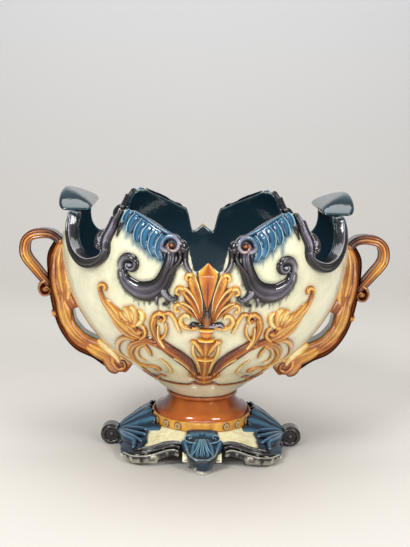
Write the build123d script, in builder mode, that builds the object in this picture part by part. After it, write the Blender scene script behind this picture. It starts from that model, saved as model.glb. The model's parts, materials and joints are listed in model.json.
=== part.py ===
# A footed majolica jardiniere: a round bowl with a pierced rim on a low stem and a lobed base,
# with two looped handles and moulded relief luted to its walls. Millimetres, Z up.
# The origin is on the axis of the bowl, at the level that the feet stand on. The front faces -Y.
from build123d import *
from math import atan, cos, radians, sin, sqrt, tan
import os

os.makedirs("parts", exist_ok=True)

# Clay walls, and how far each kind of relief stands proud of the wall behind it
bowl_wall = 7.0
stem_wall = 7.0
skirt_wall = 6.0
palm_proud = 6.0
stalk_proud = 7.0
scroll_proud = 6.0
branch_proud = 5.0
spray_proud = 4.5
crest_proud = 3.0
band_proud = 5.0
arm_proud = 4.0

# Bowl: a cone from its foot, a belly arc up to its widest level and a shoulder arc leaning in
bowl_radius = 150.0
belly_z = 221.0
belly_arc = 145.0
shoulder_arc = 102.0
rim_z = 267.0
bowl_foot_radius = 36.0
bowl_bottom_z = 62.5
bowl_floor = 10.0

# Rim: half widths from the middle, and rises above the widest level
tongue_tip = 2.5
tongue_half = 7.0
tongue_side = -3.0
notch_low_half = 12.5
notch_low_rise = -7.0
notch_half = 18.0
notch_rise = 17.0
panel_in_half = 20.7
panel_in_rise = 21.4
panel_top_half = 66.0
panel_top_rise = 44.0

# Bays between the panels and the end crests, drawn square to the wall at this turn from the front.
# Places are across from the middle of the bay and up from the widest level.
bay_turn = 50.0
bay_top_rise = 60.0
bay_panel_top = (-34.5, 47)
bay_panel_side = (-28.5, 38)
bay_curl_top = (-26.5, 27)
bay_curl = (-21, 15)
bay_curl_foot = (-24, 5)
bay_bottom = (0, -2.5)
bay_end_foot = (23, 8)
bay_end_side = (32, 19)
bay_end_top = (36, 31)
bay_mouth_half = 50.0
band_width = 12.0
crest_seat_rise = 37.0

# End crests: their section, as places out from the bowl's widest line and up, and their half length
crest_foot_out = -4.0
crest_foot_in = -31.0
crest_outside = (1.0, 49.0)
crest_tip = (-2.0, 58.4)
crest_top = (-16.0, 54.0)
crest_lip = (-33.0, 45.0)
crest_under = (-35.0, 41.0)
crest_half = 54.0
crest_cut_half = 72.0
crest_cut_x = -52.0

# Stem, collar and foot ring
collar_z = 30.0
collar_height = 10.0
collar_radius = 54.5
collar_thick = 3.0
roundel_count = 9
roundel_radius = 3.6
roundel_proud = 1.2
roundel_first = 27.6
stem_shoulder = 4.0
stem_shoulder_rise = 6.5
stem_bulge = (1.4, 3.9)
stem_hollow = 2.5
neck_radius = 34.5
foot_ring_radius = 38.5
foot_ring_height = 4.0
foot_ring_bore = 24.0

# Base
skirt_radius = 97.6
skirt_edge_z = 10.0
skirt_bore = 40.0
skirt_waist = 68.0
side_lobe_half = 30.0
toe_depth = 11.6
toe_lobe_half = 20.0
shell_half = 18.0
shell_proud = 5.0
foot_depth = 20.0
knob_radius = 11.0
knob_half = 9.0
knob_round = 2.0
knob_x = 98.0
wing_end_x = 88.0
wing_end_radius = 10.0
wing_root_radius = 36.0
wing_axis_z = 10.0
wing_gap = 0.3

# Handles
loop_thick = 10.0
loop_half = 10.0
ball_radius = 6.5
strap_half = 13.0
bead_radius = 4.5
bead_half = 8.0

# Outlines of the relief: half widths from the middle, and rises above the widest level.
# A limb is a leaf or a length of scroll: its start, the middle of its outer side, its end
# and the middle of its inner side.
palm_heart = (0, -50)
palm_heart_radius = 8.0
palm_middle = ((0, -52), (8, -22), (0, tongue_tip), (-8, -22))
palm_lobes = (
    ((2, -54), (17, -24), (14.5, -7), (6, -28)),
    ((2, -54), (23, -35), (23, -19), (12, -32)),
    ((2, -55), (25, -48), (29, -33), (14, -38)),
    ((2, -52), (16, -59), (25, -53), (14, -47)),
)
stalk_side = ((10, -63), (6, -68), (10.5, -75), (7.5, -87), (6, -100), (5.5, -113), (9, -121), (6, -130))
stalk_top = (3, -60)
stalk_foot = (0, -133)
branch_limbs = (
    ((10.5, -118), (38, -95), (48, -60), (27, -86)),
    ((48, -63), (53, -49), (42, -40), (45, -53)),
)
branch_eye = (42, -46)
branch_eye_radius = 5.5
spray_limbs = (
    ((51, -79), (63, -76), (72, -64), (56, -68)),
    ((66, -66), (94, -56), (101, -23), (83, -43)),
    ((66, -68), (82, -68), (90, -52), (78, -56)),
)
spray_eyes = ((68, -65), (71, -54))
spray_eye_radius = 6.5
lower_limbs = (
    ((66, -82), (75, -100), (51, -115), (62, -97)),
    ((55, -112), (46, -122), (31, -119), (43, -113)),
)
lower_eye = (64, -85)
lower_eye_radius = 4.5
scroll_limbs = (
    ((68, 5), (80, -7), (73, -21), (69, -8)),
    ((79, -9), (62, -34), (42, -19), (60, -21)),
    ((47, -26), (30, -4), (31, 17), (41, -1)),
    ((47, -25), (38, -29), (34, -39), (36, -27)),
)
scroll_eyes = ((68, -1), (33.5, 19.5))
scroll_eye_radius = 6.5
crest_outline = ((41.5, 8), (58, 16), (76, 33), (78, 60), (40, 60), (42, 26))

# Outlines in plan of the base's corners and of the arms of scroll on them
corner_plan = ((28, -48), (36, -62), (52, -67), (72, -67), (84, -56), (86, -38), (66, -22))
corner_round = 6.0
arm_plan = ((19, -60), (45, -48), (80, -50), (46, -58))

# Middle line of a handle's loop and the outlines of the strap below it, out from the bowl's widest line
loop_line = ((-4, -8), (9, 5), (26, 7), (39, 0), (40, -14), (29, -29), (17, -43))
ball_place = (18.3, -51.5)
strap_outside = (
    (1, 4), (11, -14), (10, -50), (4, -76), (-3, -95), (-17, -112), (-36, -121), (-53, -134), (-68, -141)
)
strap_inside = ((-80, -125), (-30, -60), (-10, 0))
gap_outside = ((-11, -71), (-14, -86), (-23, -97), (-36, -104))
gap_inside = ((-50, -104), (-28, -68))
bead_place = (5.3, -77.4)

# Places that follow from these sizes
shoulder_x = bowl_radius - shoulder_arc
belly_x = bowl_radius - belly_arc
crest_seat_z = belly_z + crest_seat_rise
beyond = bowl_radius * 2
front = Plane(origin=(0, 0, belly_z), x_dir=(1, 0, 0), z_dir=(0, -1, 0))
beside = Plane(origin=(bowl_radius, 0, belly_z), x_dir=(1, 0, 0), z_dir=(0, -1, 0))
stem_radius = collar_radius - collar_thick
collar_top_z = collar_z + collar_height
stem_top_z = bowl_bottom_z - foot_ring_height


def save(shape, name):
    """Name a finished piece and write it."""
    shape.label = name
    export_step(shape, f"parts/{name}.step")


def wall_profile(proud, low_z):
    """Half section of the bowl's outer form, grown by proud, from low_z up to the rim."""
    belly = belly_arc + proud
    shoulder = shoulder_arc + proud
    # the cone runs from the edge of the bowl's foot, tangent to the belly arc
    run = belly_x - bowl_foot_radius
    rise = belly_z - bowl_bottom_z
    span = sqrt(run ** 2 + rise ** 2)
    half_open = atan(belly_arc / sqrt(span ** 2 - belly_arc ** 2))
    slope = radians(90) - half_open - atan(run / rise)
    touch = (belly_x + belly * sin(slope), belly_z - belly * cos(slope))
    low_x = touch[0] - (touch[1] - low_z) / tan(slope)
    top_x = shoulder_x + sqrt(shoulder ** 2 - (rim_z - belly_z) ** 2)
    middle = (radians(90) + slope) / 2
    belly_mid = (belly_x + belly * sin(middle), belly_z - belly * cos(middle))
    half_rise = (rim_z - belly_z) / 2
    shoulder_mid = (shoulder_x + sqrt(shoulder ** 2 - half_rise ** 2), belly_z + half_rise)
    widest = (bowl_radius + proud, belly_z)
    with BuildLine(Plane.XZ) as edge:
        Polyline((top_x, rim_z), (0, rim_z), (0, low_z), (low_x, low_z), touch)
        ThreePointArc(touch, belly_mid, widest)
        ThreePointArc(widest, shoulder_mid, (top_x, rim_z))
    return edge.edges()


def limb(start, outer, end, inner):
    """A face between two arcs that share their ends."""
    with BuildSketch() as shape:
        with BuildLine():
            ThreePointArc(start, outer, end)
            ThreePointArc(end, inner, start)
        make_face()
    return shape.sketch


def relief(limbs, eyes, eye_radius, proud):
    """Limbs and round eyes, raised on the front right of the bowl's wall inside the cut rim."""
    with BuildPart() as raised:
        with BuildSketch(front):
            for points in limbs:
                add(limb(*points))
            with Locations(*eyes):
                Circle(eye_radius)
        extrude(amount=beyond)
        add(skin(proud), mode=Mode.INTERSECT)
        add(rim_waste.part, mode=Mode.SUBTRACT)
    return raised.part


def skin(proud):
    """The space between the bowl's outer wall and proud millimetres outside it."""
    with BuildPart() as space:
        with BuildSketch(Plane.XZ):
            make_face(wall_profile(proud, bowl_bottom_z))
        revolve(axis=Axis.Z)
        add(core.part, mode=Mode.SUBTRACT)
    return space.part


def four_sides(shape, name):
    """Write a piece of the front right, and its three mirror images round the bowl."""
    for side, flip_x in (("right", False), ("left", True)):
        for face, flip_y in (("front", False), ("back", True)):
            with BuildPart() as copy:
                add(shape)
                if flip_x:
                    mirror(about=Plane.YZ, mode=Mode.REPLACE)
                if flip_y:
                    mirror(about=Plane.XZ, mode=Mode.REPLACE)
            save(copy.part, f"{name}_{face}_{side}")


def two_sides(shape, name, about, names):
    """Write a piece and its mirror image."""
    save(shape, f"{name}_{names[0]}")
    with BuildPart() as copy:
        add(shape)
        mirror(about=about, mode=Mode.REPLACE)
    save(copy.part, f"{name}_{names[1]}")


# The bowl's solid form and the clay cut away at its rim
with BuildPart() as core:
    with BuildSketch(Plane.XZ):
        make_face(wall_profile(0, bowl_bottom_z))
    revolve(axis=Axis.Z)

bay_plane = Plane(
    origin=(0, 0, belly_z),
    x_dir=(cos(radians(bay_turn)), sin(radians(bay_turn)), 0),
    z_dir=(sin(radians(bay_turn)), -cos(radians(bay_turn)), 0),
)


def bay_outline():
    """The edge of a bay: down the panel, round its curled scroll, along the bottom and up the end crest."""
    with BuildLine() as edge:
        ThreePointArc(bay_panel_top, bay_panel_side, bay_curl_top)
        ThreePointArc(bay_curl_top, bay_curl, bay_curl_foot)
        ThreePointArc(bay_curl_foot, bay_bottom, bay_end_foot)
        ThreePointArc(bay_end_foot, bay_end_side, bay_end_top)
        Polyline(
            bay_end_top,
            (bay_mouth_half, bay_top_rise),
            (bay_panel_top[0], bay_top_rise),
            bay_panel_top,
        )
    return edge.edges()


with BuildPart() as bay_cut:
    with BuildSketch(bay_plane):
        make_face(bay_outline())
    extrude(amount=beyond)

with BuildPart() as rim_waste:
    with BuildSketch(front):
        with BuildLine():
            ThreePointArc((0, tongue_tip), (tongue_half, tongue_side), (notch_low_half, notch_low_rise))
            Polyline(
                (notch_low_half, notch_low_rise),
                (notch_half, notch_rise),
                (panel_in_half, panel_in_rise),
                (panel_top_half, panel_top_rise),
                (panel_top_half, bay_top_rise),
                (0, bay_top_rise),
                (0, tongue_tip),
            )
        make_face()
        mirror(about=Plane.YZ)
    extrude(amount=beyond, both=True)
    add(bay_cut.part)
    mirror(bay_cut.part, about=Plane.YZ)
    mirror(about=Plane.XZ)

# Bowl
with BuildPart() as hollow:
    with BuildSketch(Plane.XZ):
        make_face(wall_profile(-bowl_wall, bowl_bottom_z + bowl_floor))
    revolve(axis=Axis.Z)

with BuildPart() as bowl:
    add(core.part)
    add(hollow.part, mode=Mode.SUBTRACT)
    add(rim_waste.part, mode=Mode.SUBTRACT)
    with BuildSketch(Plane.XY.offset(crest_seat_z)):
        Rectangle(2 * beyond, 2 * crest_cut_half)
        Rectangle(2 * (bowl_radius + crest_cut_x), 2 * crest_cut_half, mode=Mode.SUBTRACT)
    extrude(amount=beyond, mode=Mode.SUBTRACT)
save(bowl.part, "bowl")

# End crests, seated on the bowl's wall at its two ends
with BuildPart() as end_crest:
    with BuildSketch(beside):
        with BuildLine():
            Line((crest_foot_in, crest_seat_rise), (crest_foot_out, crest_seat_rise))
            ThreePointArc((crest_foot_out, crest_seat_rise), crest_outside, crest_tip)
            ThreePointArc(crest_tip, crest_top, crest_lip)
            ThreePointArc(crest_lip, crest_under, (crest_foot_in, crest_seat_rise))
        make_face()
    extrude(amount=beyond, both=True)
    with BuildSketch(Plane(origin=(0, 0, belly_z), x_dir=(0, 1, 0), z_dir=(1, 0, 0))):
        with BuildLine():
            ThreePointArc((-crest_half, crest_seat_rise), (0, crest_tip[1]), (crest_half, crest_seat_rise))
            Line((crest_half, crest_seat_rise), (-crest_half, crest_seat_rise))
        make_face()
    extrude(amount=beyond, both=True, mode=Mode.INTERSECT)
two_sides(end_crest.part, "end_crest", Plane.YZ, ("right", "left"))

# Black scroll band round each bay of the rim
with BuildPart() as bay_band:
    with BuildSketch(bay_plane):
        make_face(bay_outline())
        offset(amount=band_width)
        make_face(bay_outline(), mode=Mode.SUBTRACT)
        with Locations((0, crest_seat_rise)):
            Rectangle(beyond, beyond, align=(Align.MIN, Align.MIN), mode=Mode.SUBTRACT)
    extrude(amount=beyond)
    add(skin(band_proud), mode=Mode.INTERSECT)
    add(rim_waste.part, mode=Mode.SUBTRACT)
four_sides(bay_band.part, "bay_band")

# Relief on each panel: a large scroll, and a fluted crest under the slanted edge
panel_scroll = relief(scroll_limbs, scroll_eyes, scroll_eye_radius, scroll_proud)
four_sides(panel_scroll, "panel_scroll")

with BuildPart() as panel_crest:
    with BuildSketch(front):
        with BuildLine():
            Polyline(*crest_outline, close=True)
        make_face()
    extrude(amount=beyond)
    add(skin(crest_proud), mode=Mode.INTERSECT)
    add(rim_waste.part, mode=Mode.SUBTRACT)
    add(panel_scroll, mode=Mode.SUBTRACT)
    add(bay_band.part, mode=Mode.SUBTRACT)
four_sides(panel_crest.part, "panel_crest")

# Relief of the front and the back: palmette, stalk and the branches that grow from it
with BuildPart() as palmette:
    with BuildSketch(front):
        add(limb(*palm_middle))
        for lobe in palm_lobes:
            add(limb(*lobe))
        mirror(about=Plane.YZ)
        with Locations(palm_heart):
            Circle(palm_heart_radius)
    extrude(amount=beyond)
    add(skin(palm_proud), mode=Mode.INTERSECT)
    add(rim_waste.part, mode=Mode.SUBTRACT)
two_sides(palmette.part, "palmette", Plane.XZ, ("front", "back"))

with BuildPart() as stalk:
    with BuildSketch(front):
        with BuildLine():
            Spline(stalk_top, *stalk_side, stalk_foot)
            Polyline(stalk_foot, (0, stalk_top[1]), stalk_top)
        make_face()
        mirror(about=Plane.YZ)
    extrude(amount=beyond)
    add(skin(stalk_proud), mode=Mode.INTERSECT)
    add(palmette.part, mode=Mode.SUBTRACT)
two_sides(stalk.part, "stalk", Plane.XZ, ("front", "back"))

branch = relief(branch_limbs, (branch_eye,), branch_eye_radius, branch_proud)
four_sides(branch, "branch")
leaf_spray = relief(spray_limbs, spray_eyes, spray_eye_radius, spray_proud)
four_sides(leaf_spray, "leaf_spray")
lower_scroll = relief(lower_limbs, (lower_eye,), lower_eye_radius, branch_proud)
four_sides(lower_scroll, "lower_scroll")

# Stem, with the ring that the bowl stands on and the collar of roundels at its foot
with BuildPart() as foot_ring:
    with BuildSketch(Plane.XY.offset(stem_top_z)):
        Circle(foot_ring_radius)
        Circle(foot_ring_bore, mode=Mode.SUBTRACT)
    extrude(amount=foot_ring_height)
    rim = foot_ring.edges().filter_by(GeomType.CIRCLE).group_by(SortBy.RADIUS)[-1]
    fillet(rim.sort_by(Axis.Z)[0], radius=foot_ring_height / 2)
save(foot_ring.part, "foot_ring")

with BuildPart() as stem:
    shoulder = (stem_radius - stem_shoulder, collar_top_z + stem_shoulder_rise)
    stem_rise = stem_top_z - shoulder[1]
    stem_mid = ((shoulder[0] + neck_radius) / 2 - stem_hollow, shoulder[1] + stem_rise / 2)
    with BuildSketch(Plane.XZ):
        with BuildLine():
            Polyline((0, stem_top_z), (0, collar_z), (stem_radius, collar_z), (stem_radius, collar_top_z))
            ThreePointArc(
                (stem_radius, collar_top_z),
                (stem_radius - stem_bulge[0], collar_top_z + stem_bulge[1]),
                shoulder,
            )
            ThreePointArc(shoulder, stem_mid, (neck_radius, stem_top_z))
            Line((neck_radius, stem_top_z), (0, stem_top_z))
        make_face()
    revolve(axis=Axis.Z)
    with BuildSketch(Plane.XZ):
        with BuildLine():
            Polyline(
                (0, collar_z),
                (stem_radius - stem_wall, collar_z),
                (stem_radius - stem_wall, collar_z + stem_wall),
                (neck_radius - stem_wall, shoulder[1] + stem_wall / 2),
                (neck_radius - stem_wall, stem_top_z),
                (0, stem_top_z),
                close=True,
            )
        make_face()
    revolve(axis=Axis.Z, mode=Mode.SUBTRACT)
save(stem.part, "stem")

with BuildPart() as collar:
    with BuildSketch(Plane.XY.offset(collar_z)):
        Circle(collar_radius)
    extrude(amount=collar_height)
    roundel_step = (180 - 2 * roundel_first) / (roundel_count - 1)
    middle = Vector(0, 0, collar_z + collar_height / 2)
    for side in (1, -1):
        for k in range(roundel_count):
            turn = side * radians(roundel_first + k * roundel_step)
            with BuildSketch(Plane(origin=middle, z_dir=(sin(turn), -cos(turn), 0))):
                Circle(roundel_radius)
            extrude(amount=collar_radius + roundel_proud)
    with BuildSketch(Plane.XY.offset(collar_z)):
        Circle(stem_radius)
    extrude(amount=collar_height, mode=Mode.SUBTRACT)
save(collar.part, "collar")

# Base: a sloping skirt, hollow below, cut to a lobed plan
def slope_z(radius):
    """Height of the skirt's top surface at a radius."""
    fall = (collar_z - skirt_edge_z) / (skirt_radius - collar_radius)
    return collar_z - (radius - collar_radius) * fall


def slope_solid(lift, radius):
    """Everything under the skirt's top surface, raised by lift, out to a radius."""
    with BuildPart() as below:
        with BuildSketch(Plane.XZ):
            with BuildLine():
                Polyline(
                    (0, 0),
                    (radius, 0),
                    (radius, slope_z(radius) + lift),
                    (collar_radius, collar_z + lift),
                    (0, collar_z + lift),
                    close=True,
                )
            make_face()
        revolve(axis=Axis.Z)
    return below.part


with BuildPart() as base_skirt:
    with BuildSketch():
        Circle(skirt_waist)
        Rectangle(2 * toe_lobe_half, 2 * (skirt_radius - toe_depth))
        Rectangle(2 * wing_end_x, 2 * side_lobe_half)
        with BuildSketch() as corner:
            with BuildLine():
                Polyline(*corner_plan, close=True)
            make_face()
            fillet(corner.vertices(), radius=corner_round)
        mirror(corner.sketch, about=Plane.YZ)
        mirror(about=Plane.XZ)
    extrude(amount=collar_z + collar_height)
    add(slope_solid(0, skirt_radius), mode=Mode.INTERSECT)
    add(slope_solid(-skirt_wall, skirt_radius), mode=Mode.SUBTRACT)
    with BuildSketch():
        Circle(skirt_bore)
    extrude(amount=beyond, mode=Mode.SUBTRACT)
save(base_skirt.part, "base_skirt")

# Feet under the four corners of the skirt
with BuildPart() as corner_foot:
    with BuildSketch():
        add(corner.sketch)
        Circle(skirt_radius - foot_depth, mode=Mode.SUBTRACT)
    extrude(amount=collar_z)
    add(slope_solid(-skirt_wall, skirt_radius), mode=Mode.INTERSECT)
four_sides(corner_foot.part, "corner_foot")

# Shells with a toe at the middle of the front and the back
with BuildPart() as toe_shell:
    with BuildSketch():
        with BuildLine():
            side_y = -(skirt_radius - shell_half)
            Polyline(
                (-shell_half, side_y),
                (-shell_half, -collar_radius),
                (shell_half, -collar_radius),
                (shell_half, side_y),
            )
            ThreePointArc((shell_half, side_y), (0, -skirt_radius), (-shell_half, side_y))
        make_face()
        Circle(collar_radius, mode=Mode.SUBTRACT)
    extrude(amount=collar_z + collar_height)
    add(slope_solid(shell_proud, skirt_radius), mode=Mode.INTERSECT)
    add(slope_solid(0, skirt_radius - toe_depth), mode=Mode.SUBTRACT)
    add(base_skirt.part, mode=Mode.SUBTRACT)
two_sides(toe_shell.part, "toe_shell", Plane.XZ, ("front", "back"))

# Fan shells at the two sides, between the collar and the rolled ends
with BuildPart() as side_wing:
    root_x = collar_radius + roundel_proud + wing_gap
    with Locations(Plane(origin=(root_x, 0, wing_axis_z), z_dir=(1, 0, 0))):
        Cone(
            wing_root_radius,
            wing_end_radius,
            wing_end_x - root_x,
            align=(Align.CENTER, Align.CENTER, Align.MIN),
        )
    add(slope_solid(0, skirt_radius), mode=Mode.SUBTRACT)
    with BuildSketch():
        Rectangle(2 * beyond, 2 * beyond)
    extrude(amount=-beyond, mode=Mode.SUBTRACT)
two_sides(side_wing.part, "side_wing", Plane.YZ, ("right", "left"))

with BuildPart() as side_knob:
    with Locations(Plane(origin=(knob_x, 0, knob_radius), z_dir=(0, 1, 0))):
        Cylinder(knob_radius, 2 * knob_half)
    fillet(side_knob.edges().filter_by(GeomType.CIRCLE), radius=knob_round)
    add(side_wing.part, mode=Mode.SUBTRACT)
    add(base_skirt.part, mode=Mode.SUBTRACT)
two_sides(side_knob.part, "side_knob", Plane.YZ, ("right", "left"))

# Scroll arms from each toe shell to the corners
with BuildPart() as base_arm:
    with BuildSketch():
        add(limb(*arm_plan))
    extrude(amount=collar_z + collar_height)
    add(slope_solid(arm_proud, skirt_radius), mode=Mode.INTERSECT)
    add(slope_solid(0, skirt_radius), mode=Mode.SUBTRACT)
    add(collar.part, mode=Mode.SUBTRACT)
    add(side_wing.part, mode=Mode.SUBTRACT)
four_sides(base_arm.part, "base_arm")

# Handles: a strap down each end of the bowl, with a loop springing from its top
with BuildPart() as strap:
    with BuildSketch(beside):
        with BuildLine():
            Spline(*strap_outside)
            Polyline(strap_outside[-1], *strap_inside, strap_outside[0])
        make_face()
        with BuildLine():
            Polyline(*gap_outside, *gap_inside, close=True)
        make_face(mode=Mode.SUBTRACT)
    extrude(amount=strap_half, both=True)
    add(core.part, mode=Mode.SUBTRACT)
two_sides(strap.part, "handle_strap", Plane.YZ, ("right", "left"))

with BuildPart() as loop:
    with BuildSketch(beside):
        with BuildLine():
            Spline(*loop_line)
        trace(line_width=loop_thick)
        with Locations(ball_place):
            Circle(ball_radius, mode=Mode.SUBTRACT)
    extrude(amount=loop_half, both=True)
    add(core.part, mode=Mode.SUBTRACT)
    add(strap.part, mode=Mode.SUBTRACT)
two_sides(loop.part, "handle_loop", Plane.YZ, ("right", "left"))

with BuildPart() as curl:
    with BuildSketch(beside):
        with Locations(ball_place):
            Circle(ball_radius)
    extrude(amount=loop_half, both=True)
    add(strap.part, mode=Mode.SUBTRACT)
two_sides(curl.part, "handle_curl", Plane.YZ, ("right", "left"))

with BuildPart() as bead:
    with BuildSketch(beside):
        with Locations(bead_place):
            Circle(bead_radius)
    extrude(amount=bead_half, both=True)
    add(strap.part, mode=Mode.SUBTRACT)
two_sides(bead.part, "strap_bead", Plane.YZ, ("right", "left"))
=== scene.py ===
"""A footed majolica jardiniere: glazed earthenware relief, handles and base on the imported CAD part."""

import json
import math

import bpy
import numpy as np
from mathutils import Matrix, Vector, kdtree, noise

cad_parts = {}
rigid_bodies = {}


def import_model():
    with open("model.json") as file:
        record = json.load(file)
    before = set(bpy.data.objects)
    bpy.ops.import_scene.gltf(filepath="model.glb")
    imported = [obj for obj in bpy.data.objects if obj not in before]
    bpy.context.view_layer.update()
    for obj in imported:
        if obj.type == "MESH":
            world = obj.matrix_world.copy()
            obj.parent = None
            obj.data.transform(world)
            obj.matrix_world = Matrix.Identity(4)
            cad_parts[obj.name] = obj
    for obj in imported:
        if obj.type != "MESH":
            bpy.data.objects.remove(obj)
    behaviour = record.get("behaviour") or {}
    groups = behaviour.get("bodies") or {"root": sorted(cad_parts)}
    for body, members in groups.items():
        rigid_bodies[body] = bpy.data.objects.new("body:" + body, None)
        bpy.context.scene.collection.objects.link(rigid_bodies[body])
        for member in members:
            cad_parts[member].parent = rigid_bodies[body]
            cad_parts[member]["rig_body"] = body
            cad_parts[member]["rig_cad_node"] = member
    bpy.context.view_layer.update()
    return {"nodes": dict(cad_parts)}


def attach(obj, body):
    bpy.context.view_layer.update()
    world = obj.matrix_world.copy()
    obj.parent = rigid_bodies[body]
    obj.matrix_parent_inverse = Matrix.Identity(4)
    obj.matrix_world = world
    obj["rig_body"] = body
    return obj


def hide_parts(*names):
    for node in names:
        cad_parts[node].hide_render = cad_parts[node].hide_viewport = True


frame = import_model()
MM = 0.001
SAME_POINT = 0.01 * MM   # points closer than this are joined
SEED = 7                 # shifts every patch of glaze noise

# The bowl's wall and the base's slope, in millimetres, as the CAD part has them
BELLY = 221.0                            # height of the bowl's widest line, which every rise is measured from
BELLY_ARC, BELLY_CENTRE = 145, 5         # radius of the wall's arc under that line, and its centre's radius
SHOULDER_ARC, SHOULDER_CENTRE = 102, 48  # the same for the arc over it
CONE_RADII, CONE_HEIGHTS = (36, 92), (62.5, 105)
SLOPE_TOP, SLOPE_START = 30, 54.5        # height of the base's slope, and the radius where it starts
SLOPE_FALL, SLOPE_RUN = 20, 43.1
SLOPE_OUT, SLOPE_UP = 0.42, 0.905        # the way out of that slope
WING_FAR, WING_NEAR, WING_LENGTH = 36, 56, 32   # the side wings' cone: its radius, start and length
WING_TAPER, WING_AXIS = 26, 10           # how much narrower it gets, and the height of its axis
WING_OUT, WING_ROUND = 0.62, 0.78        # the way out of that cone, along it and round it


# Glaze colours

def linear(code):
    """An sRGB hex colour as linear red, green and blue."""
    parts = [int(code[i:i + 2], 16) / 255 for i in (1, 3, 5)]
    return tuple(p / 12.92 if p <= 0.04045 else ((p + 0.055) / 1.055) ** 2.4 for p in parts)


# Each set is the glaze in the hollows, on the flats and where it has run thin on the ridges.
AMBER = ("#743410", "#B4671C", "#DCA344")
RUSSET = ("#4A1D0A", "#95470F", "#C27A28")
GOLD = ("#B06E20", "#D39A3A", "#E6C574")
PALE_GOLD = ("#C08A3A", "#DDBB69", "#EBDDA6")
FLAME = ("#E0B04C", "#C0741E", "#A4501A")
EMBER = ("#BC6A1C", "#94380F", "#802A0D")
ORANGE = ("#7A2E0C", "#B45E1C", "#CE8A3A")
MANGANESE = ("#0B0A0B", "#1A1618", "#302A2D")
LAVENDER = ("#0E0C10", "#5A5462", "#A39EAA")
PALE_GREY = ("#1C1A1E", "#4E4A50", "#A5A1A4")
INK = ("#0B0A0B", "#121013", "#221D22")
COBALT = ("#081626", "#143655", "#33698A")
FLUTE_EDGE = ("#2C6484", "#6FA5BC", "#A4C8D2")
BASE_BLUE = ("#0C1520", "#1A3247", "#3F6A84")
THIN_BLUE = ("#1C3A50", "#4F7F94", "#9FC2CC")
LIP_BLUE = ("#0C1520", "#1A3247", "#7D8A88")
RUBBED_BLACK = ("#0B0A0B", "#2A262A", "#B9B6A8")
SLATE = ("#0E0D10", "#22262E", "#4A5058")
PLUM = ("#2C120E", "#5E2C1E", "#A1643A")
# STEM_SHADE_PLUM is painted shade for the stem's sides
STEM_SHADE_PLUM = ("#2A100C", "#5C2A20", "#7E4436")
OLIVE = ("#2E2A14", "#5C5424", "#A08A40")
CREAM = ("#C9B77E", "#E6E2BE", "#F0EED6")
CREAM_FIELD, GREEN_TINT = "#E9E5C6", "#DDDFBC"
# INSIDE_RIM_HIGHLIGHT is a painted highlight along the inside's rim edges
INSIDE, INSIDE_LIGHT, INSIDE_RIM_HIGHLIGHT, PALE_EDGE = "#10222C", "#16303A", "#7F938F", "#B9B7A6"
# CREST_HIGHLIGHT is a painted highlight: the pale teal-grey laid on the crest's convex edges
CREST_DEEP, CREST_TEAL, CREST_HIGHLIGHT, CREST_ROOT = "#0A171E", "#164350", "#7C9A9C", "#171416"
RING_BROWN, RING_PALE, COLLAR_EDGE = "#451C08", "#E9D392", "#7A3C10"
WORN_FOOT, WORN_CLAY = "#B5B2A4", "#CFCBB6"
RAMP_PLACES = (0.3, 0.78, 1.02)


def ramp(share, colours):
    """Linear colours mixed between the hollow, the flat and the ridge colour of a glaze set."""
    stops = np.array([linear(c) for c in colours])
    return np.stack([np.interp(share, RAMP_PLACES, stops[:, k]) for k in range(3)], 1)


def mix(a, b, share):
    """Colours a turned towards colours b; b may be one hex colour."""
    if isinstance(b, str):
        b = np.tile(linear(b), (len(a), 1))
    share = np.clip(share, 0, 1)[:, None]
    return a * (1 - share) + b * share


def plain(colour, count):
    """One hex colour for that many points."""
    return np.tile(linear(colour), (count, 1))


# Where things sit: the bowl's wall, the skirt's slope and free space, all in millimetres

def wall_radius(z):
    """The bowl's outside radius at a height: shoulder arc, belly arc, then the cone to the foot."""
    z = np.asarray(z, float)
    belly = BELLY_CENTRE + np.sqrt(np.clip(BELLY_ARC ** 2 - (z - BELLY) ** 2, 0, None))
    shoulder = SHOULDER_CENTRE + np.sqrt(np.clip(SHOULDER_ARC ** 2 - (z - BELLY) ** 2, 0, None))
    (low_radius, top_radius), (low, top) = CONE_RADII, CONE_HEIGHTS
    cone = low_radius + (z - low) * (top_radius - low_radius) / (top - low)
    return np.where(z > BELLY, shoulder, np.where(z > top, belly, cone))


def turned(points, degrees):
    """Points turned about the cup's upright axis."""
    a = math.radians(degrees)
    x, y = points[:, 0].copy(), points[:, 1].copy()
    out = points.copy()
    out[:, 0] = x * math.cos(a) - y * math.sin(a)
    out[:, 1] = x * math.sin(a) + y * math.cos(a)
    return out


def on_wall(flat, lift=0.0, turn=0.0):
    """Points on the bowl's front from (across, rise) seen straight on, and the way out of the wall there."""
    x, z = flat[:, 0], flat[:, 1] + BELLY
    radius = wall_radius(z)
    reach = np.sqrt(np.clip(radius ** 2 - x ** 2, 1.0, None))
    lean = wall_radius(z + 0.5) - wall_radius(z - 0.5)
    out = np.stack([x / radius, -reach / radius, -lean], 1)
    out /= np.linalg.norm(out, axis=1)[:, None]
    place = np.stack([x, -reach, z], 1) + out * lift
    return turned(place, turn), turned(out, turn)


def slope_height(r):
    """Height of the base's slope at a radius."""
    return SLOPE_TOP - (r - SLOPE_START) * SLOPE_FALL / SLOPE_RUN


def on_skirt(flat, lift=0.0, turn=0.0):
    """Points on the base's slope from plan positions (x, y)."""
    r = np.hypot(flat[:, 0], flat[:, 1])
    out = np.stack([flat[:, 0] / r * SLOPE_OUT, flat[:, 1] / r * SLOPE_OUT, np.full(len(r), SLOPE_UP)], 1)
    place = np.stack([flat[:, 0], flat[:, 1], slope_height(r)], 1) + out * lift
    return turned(place, turn), turned(out, turn)


def upright(side_y, out_y):
    """A carrier for carving on an upright face across Y: points are (x, rise)."""
    def carry(flat, lift=0.0, turn=0.0):
        place = np.stack([flat[:, 0], np.full(len(flat), side_y), flat[:, 1] + BELLY], 1)
        out = np.tile([0.0, out_y, 0.0], (len(flat), 1))
        return place + out * lift, out
    return carry


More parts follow.
